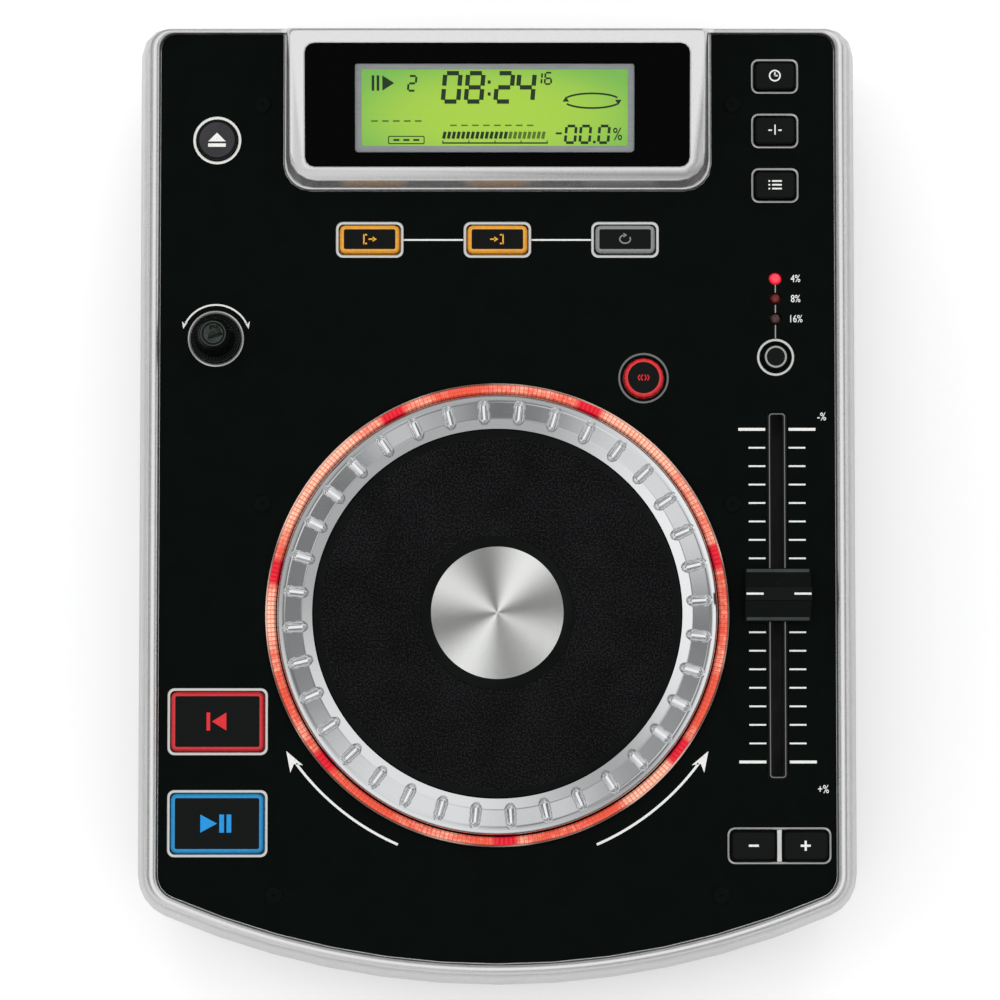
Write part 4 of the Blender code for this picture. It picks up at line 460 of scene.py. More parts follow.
@dataclass(frozen=True)
class LitLens(Finish):
    """A coloured lens with a lamp behind it.

    Attributes:
        glow: The colour of its light.
        power: The light's strength.
        centre: The lamp's place, in millimetres from the wheel's axis.
        reach: How far from the lamp the light has faded, in millimetres.
        fade: How much of the light is left there.
    """

    glow: Colour = (1.0, 0.0, 0.0)
    power: float = 1.0
    centre: Pair = (0.0, 0.0)
    reach: float = 10.0
    fade: float = 0.5

    def painted(self, graph: Graph) -> Material:
        """Light that fades away from the lamp, through slightly cloudy plastic."""
        x, y, _ = graph.axes((*self.centre, 0.0))
        radius = graph.maths("SQRT", x * x + y * y)
        cloud = graph.noise(1.2, 3.0)
        near = radius.eased(self.reach, 0.0)
        share = self.fade + near * (1 - self.fade) + (cloud - 0.5) * 0.2
        light = graph.blend(share, (0.0, 0.0, 0.0), self.glow)
        colour = graph.blend(cloud.eased(0.3, 0.7), self.toned(0.85), self.colour)
        roughness = self.roughness + (cloud - 0.5) * 0.1
        return graph.surface(
            colour,
            roughness,
            Emission_Color=light,
            Emission_Strength=self.power,
            Normal=graph.bump(graph.noise(0.3, 2.0), 0.006),
        )


@dataclass(frozen=True)
class RingLight(Finish):
    """The toothed lens round the wheel: cells inside a clear lip, paler in places and crimson over lamps.

    Attributes:
        cream: The colour of the brightest cells.
        lip: The colours of the clear lip, dull and lit.
        crimson: The colour over a lamp.
        teeth: How many teeth stand round the ring.
        row: Radius of the middle of a row of cells. The rows lie a millimetre apart.
        lip_start: Radii between which the cells give way to the lip.
        lamps: How many lamps there are.
        first_lamp: The first lamp's angle in degrees.
        lamp_reach: Where a lamp's crimson has ended and where it is full, as shares of the lamps' distance.
        power: The strength of the light.
    """

    cream: Colour = (0.95, 0.60, 0.42)
    lip: tuple[Colour, Colour] = ((0.16, 0.10, 0.085), (0.72, 0.52, 0.44))
    crimson: Colour = (0.72, 0.01, 0.03)
    teeth: int = 320
    row: float = 67.95
    lip_start: Pair = (69.0, 69.15)
    lamps: int = 7
    first_lamp: float = 14.7
    lamp_reach: Pair = (0.085, 0.045)
    power: float = 0.2

    def painted(self, graph: Graph) -> Material:
        """A row of cells that are tinted in long patches, and a lip beside them."""
        x, y, _ = graph.axes()
        radius = graph.maths("SQRT", x * x + y * y)
        turn = graph.maths("ARCTAN2", y, x) / (2 * math.pi)
        along = (turn * self.teeth) % 1.0
        gap = abs(along - 0.5).eased(0.3, 0.46)
        row = abs((radius - self.row) % 1.0 - 0.5).eased(0.3, 0.5) * 0.7
        lamp = (turn - self.first_lamp / 360 + 0.5 / self.lamps) * self.lamps
        away = abs(lamp % 1.0 - 0.5)
        patch, speck = graph.noise(26.0, 2.0), graph.noise(1.6, 2.0)
        share = (patch * 1.5 + speck * 0.5 - 0.5).eased(0.3, 0.7)
        cells = graph.blend(share, self.cream, self.colour)
        deep = graph.blend(graph.maths("MAXIMUM", gap, row) * 0.8, cells, self.crimson)
        lit = graph.blend((away + (patch - 0.5) * 0.08).eased(*self.lamp_reach), deep, self.crimson)
        lip = graph.blend(patch.eased(0.62, 0.36), *self.lip)
        colour = graph.blend(radius.eased(*self.lip_start), lit, lip)
        normal = graph.bump(1.0 - gap, 0.1)
        return graph.surface(
            colour, self.roughness, Emission_Color=colour, Emission_Strength=self.power, Normal=normal
        )


@dataclass(frozen=True)
class CircuitBoard(Finish):
    """Green solder mask with copper tracks under it and tinned pads.

    Attributes:
        track: The colour over a track.
        tin: The colour of a pad.
        spacing: From track to track along X and along Y, in millimetres.
        half_width: Half a track's width along X and along Y, in millimetres.
        bend: How far the tracks wander, in millimetres.
        pad: From pad to pad in millimetres, and a pad's radius as a share of it.
    """

    track: Colour = (0.05, 0.3, 0.13)
    tin: Colour = (0.7, 0.7, 0.68)
    spacing: Pair = (2.4, 3.6)
    half_width: Pair = (0.45, 0.4)
    bend: float = 26.0
    pad: Pair = (2.54, 0.16)

    def painted(self, graph: Graph) -> Material:
        """Tracks that step from cell to cell, and a pad in the middle of some cells."""
        x, y, _ = graph.axes()
        wander = graph.noise(16.0, 0.0)
        lines, crossing = (
            abs((place + wander * self.bend) % step - step / 2) < half
            for place, step, half in zip((x, y), self.spacing, self.half_width)
        )
        tracks = graph.blend(wander > 0.5, *(self._shade(graph, mask) for mask in (lines, crossing)))
        pads = graph.cells(self.pad[0]) < self.pad[1]
        colour = graph.blend(pads, tracks, self.tin)
        return graph.surface(colour, self.roughness + pads * -0.15, Metallic=pads * 0.9)

    def _shade(self, graph: Graph, mask: Signal) -> Signal:
        """The mask's colour with these tracks."""
        return graph.blend(mask, self.colour, self.track)


@dataclass(frozen=True)
class SmokedWindow(Finish):
    """Black-backed acrylic, left clear over the display.

    Attributes:
        clear: Middle and half size of the clear field, in millimetres.
        haze: How much of the black stays over the display.
    """

    clear: tuple[Pair, Pair] = (SCREEN_MIDDLE, (42.1, 13.2))
    haze: float = 0.03

    def painted(self, graph: Graph) -> Material:
        """Opaque outside the clear field, with faint wiping marks."""
        (middle_x, middle_y), (half_x, half_y) = self.clear
        x, y, _ = graph.axes((middle_x, middle_y, 0.0))
        outside = graph.maths("MAXIMUM", abs(x) > half_x, abs(y) > half_y)
        wiped = graph.noise(12.0, 4.0, (3.0, 1.0, 1.0))
        alpha = outside * (1 - self.haze) + self.haze
        roughness = self.roughness + wiped * 0.05
        return graph.surface(self.colour, roughness, Alpha=alpha, Specular_IOR_Level=0.015)


@dataclass(frozen=True)
class ScreenGlow(Finish):
    """The lit yellow-green ground of a liquid crystal display.

    Attributes:
        centre: The screen's middle, in millimetres from the wheel's axis.
        half: Half its width and length.
        dim: The colour at the far ends of the light guide.
        grounds: The two colours of the unlit ground.
        power: The strength of the light.
    """

    centre: Pair = SCREEN_MIDDLE
    half: Pair = (40.2, 11.5)
    dim: Colour = (0.15, 0.45, 0.06)
    grounds: tuple[Colour, Colour] = ((0.03, 0.045, 0.008), (0.04, 0.06, 0.01))
    power: float = 0.95

    def painted(self, graph: Graph) -> Material:
        """Brighter through the middle, greener to the ends, with the cell's faint spacers."""
        x, y, _ = graph.axes((*self.centre, 0.0))
        across = abs(x) / self.half[0]
        along = abs(y + 2.0) / self.half[1]
        fall = (across * across * 0.7 + along * along * 0.45).eased(0.0, 1.15)
        spots = graph.noise(0.5, 2.0)
        light = graph.blend(fall + (spots - 0.5) * 0.06, self.colour, self.dim)
        ground = graph.blend(spots.eased(0.2, 0.8), *self.grounds)
        roughness = self.roughness + (spots - 0.5) * 0.1
        return graph.surface(ground, roughness, Emission_Color=light, Emission_Strength=self.power)


def polar(centre: Pair, radius: float, angle: float) -> Pair:
    """The point at some distance from a centre, at an angle in degrees."""
    turn = math.radians(angle)
    return centre[0] + radius * math.cos(turn), centre[1] + radius * math.sin(turn)


def arc(centre: Pair, radius: float, start: float, end: float, steps: int) -> list[Pair]:
    """Points along an arc from one angle in degrees to another, both ends included."""
    return [polar(centre, radius, start + (end - start) * i / steps) for i in range(steps + 1)]


def circle(radius: float, steps: int = 48, centre: Pair = (0.0, 0.0)) -> list[Pair]:
    """A closed circle of points."""
    return arc(centre, radius, 0.0, 360.0, steps)[:-1]


def rounded(width: float, depth: float, corner: float, centre: Pair) -> list[Pair]:
    """A rectangle with round corners.

    Args:
        width: Its size along X.
        depth: Its size along Y.
        corner: The radius of its corners.
        centre: Its middle.

    Returns:
        Its points, counter-clockwise.
    """
    points: list[Pair] = []
    for quarter, (right, back) in enumerate(((1, 1), (-1, 1), (-1, -1), (1, -1))):
        middle = (centre[0] + right * (width / 2 - corner), centre[1] + back * (depth / 2 - corner))
        points += arc(middle, corner, quarter * 90.0, quarter * 90.0 + 90.0, CORNER_STEPS)
    return points


class Form:
    """A mesh in the making, in millimetres from the wheel's axis and the table."""

    def __init__(self) -> None:
        """Starts with no points."""
        self.points: list[Point] = []
        self.faces: list[tuple[int, ...]] = []

    def rings(self, rings: Sequence[Sequence[Point]], closed: bool = False) -> Form:
        """Joins rings of points by faces.

        Args:
            rings: Rings with the same number of points, each the next one along.
            closed: Whether the last ring joins the first. Otherwise flat faces close both ends.

        Returns:
            The form itself.
        """
        first, count = len(self.points), len(rings[0])
        for ring in rings:
            self.points += ring
        pairs = list(zip(range(len(rings)), range(1, len(rings))))
        if closed:
            pairs.append((len(rings) - 1, 0))
        for low, high in pairs:
            for i in range(count):
                j = (i + 1) % count
                corners = (low * count + i, low * count + j, high * count + j, high * count + i)
                self.faces.append(tuple(first + c for c in corners))
        if not closed:
            self.faces.append(tuple(first + i for i in reversed(range(count))))
            self.faces.append(tuple(first + (len(rings) - 1) * count + i for i in range(count)))
        return self

    def turned(self, profile: Pairs, centre: Pair = (0.0, 0.0), steps: int = 48) -> Form:
        """A ring about a vertical axis, from the radii and heights of its closed section."""
        rings = [[(x, y, z) for x, y in circle(radius, steps, centre)] for radius, z in profile]
        return self.rings(rings, closed=True)

    def capped(self, profile: Pairs, centre: Pair = (0.0, 0.0), steps: int = 48) -> Form:
        """A solid of revolution, from radii and heights, that flat faces close at its two ends."""
        return self.rings([[(x, y, z) for x, y in circle(r, steps, centre)] for r, z in profile])

    def prism(self, outline: Pairs, low: float, high: float) -> Form:
        """A straight-sided solid between two heights."""
        return self.rings([[(x, y, z) for x, y in outline] for z in (low, high)])

    def frame(self, outer: Pairs, inner: Pairs, low: float, high: float, crown: float = 0.0) -> Form:
        """A flat frame between two outlines with the same number of points.

        Args:
            outer: The outer outline.
            inner: The inner outline.
            low: Its lower height.
            high: Its upper height.
            crown: How far the middle of the frame's top stands above its edges.

        Returns:
            The form itself.
        """
        middle = [((a + c) / 2, (b + d) / 2) for (a, b), (c, d) in zip(outer, inner)]
        rows = ((outer, low), (outer, high), (middle, high + crown), (inner, high), (inner, low))
        return self.rings([[(x, y, z) for x, y in outline] for outline, z in rows], closed=True)

    def stroke(self, path: Pairs, width: float, low: float, high: float) -> Form:
        """A flat line of some width along a path.

        Args:
            path: The points that it follows.
            width: The line's width.
            low: Its lower height.
            high: Its upper height.

        Returns:
            The form itself.
        """
        left: list[Pair] = []
        right: list[Pair] = []
        for i, (x, y) in enumerate(path):
            before, after = path[max(i - 1, 0)], path[min(i + 1, len(path) - 1)]
            along = Vector((after[0] - before[0], after[1] - before[1])).normalized() * (width / 2)
            left.append((x - along.y, y + along.x))
            right.append((x + along.y, y - along.x))
        return self.prism(right + left[::-1], low, high)

    def recess(self, centre: Pair, reach: float, angle: float, low: float, high: float) -> Form:
        """The cross in a screw's head, turned by so many degrees."""
        for turn in (angle, angle + 90.0):
            ends = [polar(centre, reach, turn + half) for half in (0.0, 180.0)]
            self.stroke(ends, RECESS_WIDTH, low, high)
        return self

    def lettered(self, text: str, height: float, centre: Pair, low: float, high: float) -> Form:
        """Numbers or signs as flat solids, a little narrower and bolder than the plain font.

        Args:
            text: What they say.
            height: Their height.
            centre: The middle of the line.
            low: Their lower height over the table.
            high: Their upper height.

        Returns:
            The form itself.
        """
        curve = bpy.data.curves.new("letters", "FONT")
        curve.body, curve.align_x, curve.align_y = text, "CENTER", "CENTER"
        curve.size, curve.extrude, curve.resolution_u = height / FIGURE_SHARE, (high - low) / 2, 3
        curve.offset = FIGURE_BOLDER * height
        source = bpy.data.objects.new("letters", curve)
        mesh = source.to_mesh()
        first = len(self.points)
        middle = (low + high) / 2
        for corner in mesh.vertices:
            x, y, z = corner.co
            self.points.append((centre[0] + x * FIGURE_NARROW, centre[1] + y, middle + z))
        self.faces += [tuple(first + i for i in face.vertices) for face in mesh.polygons]
        source.to_mesh_clear()
        bpy.data.objects.remove(source)
        bpy.data.curves.remove(curve)
        return self

    def placed(self, matrix: Matrix) -> Form:
        """Moves all that the form holds, in millimetres."""
        self.points = [tuple(matrix @ Vector(point)) for point in self.points]
        return self

    def with_form(self, other: Form) -> Form:
        """Takes in another form's points and faces."""
        first = len(self.points)
        self.points += other.points
        self.faces += [tuple(first + i for i in face) for face in other.faces]
        return self

    def piece(
        self,
        name: str,
        body: str,
        finish: Finish,
        edge: float = 0.0,
        slot: str | None = None,
        angle: float = 35.0,
    ) -> Piece:
        """Makes the piece and lets it ride.

        Args:
            name: The piece's name.
            body: The body that carries it.
            finish: Its finish.
            edge: The radius on its sharp edges, in millimetres.
            slot: The record's material slot that it belongs to. It is not used.
            angle: Edges sharper than this stay sharp, in degrees.

        Returns:
            The piece.
        """
        mesh = bpy.data.meshes.new(name)
        mesh.from_pydata([WHEEL_AXIS + Vector(point) * MM for point in self.points], [], self.faces)
        mesh.validate()
        piece = bpy.data.objects.new(name, mesh)
        bpy.context.scene.collection.objects.link(piece)
        outward(mesh)
        mesh.shade_smooth()
        mesh.set_sharp_from_angle(angle=math.radians(angle))
        mesh.materials.append(finish.material())
        if edge:
            softened(piece, edge)
        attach(piece, body)
        return piece


def outward(mesh: bpy.types.Mesh) -> None:
    """Turns every face of a mesh outwards."""
    shape = bmesh.new()
    shape.from_mesh(mesh)
    bmesh.ops.remove_doubles(shape, verts=shape.verts, dist=SAME_POINT * MM)
    bmesh.ops.recalc_face_normals(shape, faces=shape.faces)
    shape.to_mesh(mesh)
    shape.free()


def softened(piece: Piece, edge: float) -> None:
    """Rounds a piece's sharp edges with this radius in millimetres."""
    bevel = piece.modifiers.new("edges", "BEVEL")
    bevel.width = edge * MM
    bevel.segments = 2
    bevel.limit_method = "ANGLE"
    bevel.angle_limit = math.radians(BEVEL_FROM)
    bevel.harden_normals = True


def dress(node: str, finish: Finish) -> None:
    """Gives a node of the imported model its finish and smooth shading."""
    piece = FRAME["nodes"][node]
    piece.data.materials.clear()
    piece.data.materials.append(finish.material())
    facets = piece.data.attributes.get("custom_normal")
    if facets:
        piece.data.attributes.remove(facets)
    piece.data.shade_smooth()
    weld = piece.modifiers.new("weld", "WELD")
    weld.merge_threshold = WELD_REACH * MM
    split = piece.modifiers.new("sharp_edges", "EDGE_SPLIT")
    split.split_angle = math.radians(SHARP_FROM)


class Assembly:
    """One sub-assembly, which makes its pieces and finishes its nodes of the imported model.

    Attributes:
        LOOKS: The nodes that each finish goes on.
    """

    LOOKS: Mapping[Finish, Sequence[str]] = {}

    def build(self) -> list[Piece]:
        """Makes its pieces and returns them. A sub-assembly that only has nodes makes none."""
        return []

    def dress(self) -> None:
        """Finishes its nodes."""
        for finish, nodes in self.LOOKS.items():
            for node in nodes:
                dress(node, finish)


class Finishes:
    """The finishes that several sub-assemblies share."""

    SILVER = Lacquer("silver_lacquer", (0.68, 0.68, 0.68), 0.27, metallic=0.9, flake=0.05, peel=0.002)
    RIM_SILVER = Lacquer("wheel_silver", (0.72, 0.73, 0.74), 0.13, metallic=0.95, flake=0.05, peel=0.002)
    BEZEL = Lacquer("bezel_silver", (0.58, 0.58, 0.56), 0.3, metallic=0.8, flake=0.04, peel=0.0)
    BRIGHT_BEZEL = Lacquer("bright_bezel", (0.80, 0.80, 0.76), 0.3, metallic=0.6, flake=0.04, peel=0.0)
    GREY_CAP = Moulding("grey_cap", (0.030, 0.028, 0.032), 0.42, grain=0.4, specular=0.2)
    PANEL = Moulding("panel_black", (0.0013, 0.0026, 0.002), 0.4, grain=0.3, specular=0.03)
    CAP_BLACK = Moulding("cap_black", (0.0025, 0.0036, 0.0033), 0.36, specular=0.09)
    MATT_BLACK = Moulding("matt_black", (0.004, 0.0045, 0.0045), 0.5, specular=0.08)
    # The pale disc on the knob's top, and also the fader cap's bars, which are painted highlights.
    KNOB_TOP_AND_HIGHLIGHT = Moulding("knob_top_and_highlight", (0.046, 0.058, 0.050), 0.5, specular=0.08, grain=0.1)
    WHITE_INK = Ink("white_ink", (0.78, 0.78, 0.76), 0.5)
    FAINT_INK = Ink("faint_ink", (0.30, 0.31, 0.30), 0.5)
    STEEL = SheetMetal("galvanised_steel", (0.55, 0.56, 0.58), 0.34)
    COATED = SheetMetal("coated_steel", (0.022, 0.022, 0.024), 0.5, 0.0, along=(1.0, 1.0, 1.0), depth=0.03)
    TIN = SheetMetal("tinned_metal", (0.72, 0.72, 0.70), 0.25)
    RUBBER = Moulding("foot_rubber", (0.015, 0.015, 0.015), 0.85, grain=0.5, depth=0.05, specular=0.2)
    BRONZE = SheetMetal("bearing_bronze", (0.55, 0.38, 0.2), 0.3, along=(1.0, 1.0, 8.0))
    BOARD = CircuitBoard("solder_mask", (0.02, 0.16, 0.07), 0.38)
    NATURAL = Moulding("natural_plastic", (0.72, 0.72, 0.68), 0.45)
    SCREW = Moulding("blackened_screw", (0.0016, 0.003, 0.0024), 0.4, specular=0.035)
    LAMP_RING = Lacquer("dark_chrome", (0.16, 0.165, 0.16), 0.25, metallic=0.9, peel=0.0)


@dataclass
class Housing(Assembly):
    """The silver moulding round the faceplate, and what closes it below.

    Attributes:
        foot_places: X and Y of the back and the front feet on the right.
        foot_ring: Radii of the ring moulded into each foot.
        foot_screw: Radii and heights of the screw in it, from below.
        rim: Width of the rim at the sides, the back and the front.
        plate_half: Half the faceplate's width.
        plate_ends: How far the faceplate reaches to the back and to the front.
        corners: Radii of the faceplate's front and back corners.
        bow_radius: Radius of its bowed front edge.
        notch: Half width of the hood's notch in the faceplate, and its front edge.
        notch_corner: Radius of the notch's corners.
        rim_roll: Lower and upper height of the rounded roll on the rim.
        rim_shares: Where its two sides run, as shares of the rim's width.
        foot_roll: Lower and upper height of the roll round the hood's foot.
        foot_inwards: How far its two sides run inside the notch.
    """

    LOOKS = {
        Finishes.SILVER: ("upper_housing",),
        Finishes.COATED: ("base_pan",),
        Finishes.RUBBER: ("foot_back_left", "foot_back_right", "foot_front_left", "foot_front_right"),
    }

    foot_places: tuple[Pair, Pair] = ((86.0, 152.0), (84.0, -66.0))
    foot_ring: Pair = (7.4, 4.2)
    foot_screw: Pairs = ((3.2, 0.5), (2.7, 0.25), (0.6, 0.25))
    rim: Point = (4.1, 1.9, 3.5)
    plate_half: float = 101.6
    plate_ends: Pair = (175.7, 104.3)
    corners: Pair = (6.8, 4.4)
    bow_radius: float = 248.0
    notch: Pair = (64.7, 127.9)
    notch_corner: float = 8.5
    rim_roll: Pair = (80.95, 81.75)
    rim_shares: Pair = (0.10, 0.86)
    foot_roll: Pair = (80.4, 81.3)
    foot_inwards: Pair = (0.3, 1.35)

    def build(self) -> list[Piece]:
        """Makes the rolled edges, the pan's screws and the rings under the feet."""
        rings, screws = Form(), Form()
        outer, inner = self.foot_ring
        for x, y in self.foot_places:
            for side in (-1, 1):
                rings.turned([(outer, 0.0), (outer, 0.5), (inner, 0.5), (inner, 0.0)], (side * x, y), 32)
                screws.capped(self.foot_screw, (side * x, y), 16)
        silver, slot = Finishes.SILVER, "silver_plastic"
        edge = self._roll([self._rim_path(share) for share in self.rim_shares], self.rim_roll)
        foot = self._roll([self._foot_path(inwards) for inwards in self.foot_inwards], self.foot_roll)
        return [
            edge.piece("rim_roll", "player", silver, slot=slot, angle=60.0),
            foot.piece("hood_foot_roll", "player", silver, slot=slot, angle=60.0),
            rings.piece("foot_rings", "player", Finishes.RUBBER),
            screws.piece("foot_screws", "player", Finishes.SCREW),
        ]

    def _rim_path(self, share: float) -> list[Pair]:
        """The line along the rim from one side of the hood round to the other.

        Args:
            share: How far out it runs, as a share of the rim's width.

        Returns:
            Its points.
        """
        side, back, front = (share * width for width in self.rim)
        half, bow = self.plate_half + side, self.bow_radius + front
        fore, aft = self.corners[0] + min(side, front), self.corners[1] + min(side, back)
        end, middle = self.plate_ends[0] + back, self.bow_radius - self.plate_ends[1]
        x = half - fore
        reach = math.sqrt((bow - fore) ** 2 - x**2)
        slope = math.degrees(math.atan2(reach, x))
        right = [(self.notch[0] + 0.6, end)]
        right += arc((half - aft, end - aft), aft, 90.0, 0.0, 10)
        right += arc((x, middle - reach), fore, 0.0, -slope, 10)
        bowed = arc((0.0, middle), bow, -slope, slope - 180.0, 60)[1:-1]
        return right + bowed + [(-x, y) for x, y in reversed(right)]

    def _foot_path(self, inwards: float) -> list[Pair]:
        """The line round the hood's foot, some way inside the faceplate's notch."""
        half, front, corner = self.notch[0] - inwards, self.notch[1] + inwards, self.notch_corner - inwards
        right = [(half, self.plate_ends[0] - 0.5)]
        right += arc((half - corner, front + corner), corner, 0.0, -90.0, 12)
        return right + [(-x, y) for x, y in reversed(right)]

    @staticmethod
    def _roll(paths: Sequence[Pairs], heights: Pair) -> Form:
        """A half-round roll between the lines along its two sides, from its lower to its upper height."""
        sections = []
        for (ax, ay), (bx, by) in zip(*paths):
            section = []
            for step in range(ROLL_STEPS + 1):
                turn = math.pi * step / ROLL_STEPS
                share, rise = (1 - math.cos(turn)) / 2, math.sin(turn)
                z = heights[0] + (heights[1] - heights[0]) * rise
                section.append((ax + (bx - ax) * share, ay + (by - ay) * share, z))
            sections.append(section)
        return Form().rings(sections)


class Sign(Enum):
    """The generic signs that stand on the buttons."""

    EJECT = "eject"
    PLAY_PAUSE = "play_pause"
    CLOCK = "clock"
    ONE = "one"
    LIST = "list"
    OPEN_BRACKET = "open_bracket"
    CLOSE_BRACKET = "close_bracket"
    AGAIN = "again"
    SEEK = "seek"
    MARK = "mark"
    MINUS = "minus"
    PLUS = "plus"


@dataclass(frozen=True)
class Drawing:
    """What a sign of height 1 looks like.

    Attributes:
        width: The width of its lines.
        lines: The points of each line.
        solids: The points of each filled outline.
    """

    width: float
    lines: Sequence[Pairs]
    solids: Sequence[Pairs] = ()


def bracket(side: int, start: float) -> Drawing:
    """A bracket on one side, and an arrow to the right.

    Args:
        side: -1 for a bracket on the left, which opens, and 1 for one on the right.
        start: Where the arrow begins.

    Returns:
        The drawing.
    """
    near, far, high = side * 0.25, side * 0.55, 0.43
    lines = [[(near, high), (far, high)], [(far, 0.5), (far, -0.5)], [(near, -high), (far, -high)]]
    lines.append([(start, 0.0), (start + 0.5, 0.0)])
    return Drawing(0.14, lines, [[(start + 0.4, -0.26), (start + 0.8, 0.0), (start + 0.4, 0.26)]])


SIGNS = {
    Sign.EJECT: Drawing(
        0.24, [[(-0.62, -0.38), (0.62, -0.38)]], [[(-0.62, -0.12), (0.62, -0.12), (0.0, 0.5)]]
    ),
    Sign.PLAY_PAUSE: Drawing(
        0.26, [[(x, -0.5), (x, 0.5)] for x in (0.26, 0.66)], [[(-0.92, -0.5), (0.0, 0.0), (-0.92, 0.5)]]
    ),
    Sign.CLOCK: Drawing(0.12, [[(0.0, 0.3), (0.0, -0.04)], [(-0.05, 0.0), (0.24, 0.0)]]),
    Sign.ONE: Drawing(0.14, [[(-0.62, 0.0), (-0.3, 0.0)], [(0.3, 0.0), (0.62, 0.0)]]),
    Sign.LIST: Drawing(
        0.15,
        [[(a, row), (b, row)] for row in (-0.36, 0.0, 0.36) for a, b in ((-0.3, 0.62), (-0.64, -0.48))],
    ),
    Sign.OPEN_BRACKET: bracket(-1, -0.1),
    Sign.CLOSE_BRACKET: bracket(1, -0.7),
    Sign.AGAIN: Drawing(
        0.13,
        [[(x * 1.3, y) for x, y in arc((0.0, 0.0), 0.4, 100.0, 390.0, 20)]],
        [[(-0.16, 0.16), (-0.16, 0.62), (0.2, 0.4)]],
    ),
    Sign.SEEK: Drawing(
        0.13,
        [
            [(side * (reach - 0.22), 0.36 * way), (side * reach, 0.0)][::way]
            for side in (-1, 1)
            for reach in (0.35, 0.7)
            for way in (1, -1)
        ],
    ),
    Sign.MARK: Drawing(0.2, [[(-0.5, -0.5), (-0.5, 0.5)]], [[(0.5, 0.5), (-0.3, 0.0), (0.5, -0.5)]]),
    Sign.MINUS: Drawing(0.22, [[(-0.5, 0.0), (0.5, 0.0)]]),
    Sign.PLUS: Drawing(
        0.22,
        [],
        [
            [
                (x * c - y * s, x * s + y * c)
                for c, s in ((1, 0), (0, 1), (-1, 0), (0, -1))
                for x, y in ((0.11, 0.11), (0.11, 0.5), (-0.11, 0.5))
            ]
        ],
    ),
}


@dataclass(frozen=True)
class SignDrawer:
    """Draws a sign as flat solids.

    Attributes:
        centre: The sign's middle.
        size: Its height.
        low: Its lower height over the table.
        high: Its upper height.
    """

    centre: Pair
    size: float
    low: float
    high: float

    def at(self, points: Iterable[Pair]) -> list[Pair]:
        """Points of a sign of height 1 in their place."""
        return [(self.centre[0] + x * self.size, self.centre[1] + y * self.size) for x, y in points]

    def draw(self, sign: Sign) -> Form:
        """A sign's solids."""
        form = Form()
        if sign is Sign.CLOCK:
            form.frame(self.at(circle(0.5, 24)), self.at(circle(0.38, 24)), self.low, self.high)
        if sign is Sign.ONE:
            form.lettered("1", self.size, self.centre, self.low, self.high)
        drawing = SIGNS[sign]
        for points in drawing.lines:
            form.stroke(self.at(points), drawing.width * self.size, self.low, self.high)
        for points in drawing.solids:
            form.prism(self.at(points), self.low, self.high)
        return form


@dataclass(frozen=True)
class Key:
    """One push button with its bezel.

    Attributes:
        name: The node's name.
        centre: Its place.
        cap: Width and depth of the cap.
        sign: What stands on it.
        ink: The colour of the sign and of the lit frame.
        lit: Whether a lit frame runs round the cap.
        sign_size: The sign's height.
    """

    name: str
    centre: Pair
    cap: Pair
    sign: Sign
    ink: Finish
    lit: bool
    sign_size: float

    def outline(self, grown: float, corner: float) -> list[Pair]:
        """The cap's outline, grown all round."""
        width, depth = self.cap[0] + 2 * grown, self.cap[1] + 2 * grown
        return rounded(width, depth, corner, self.centre)


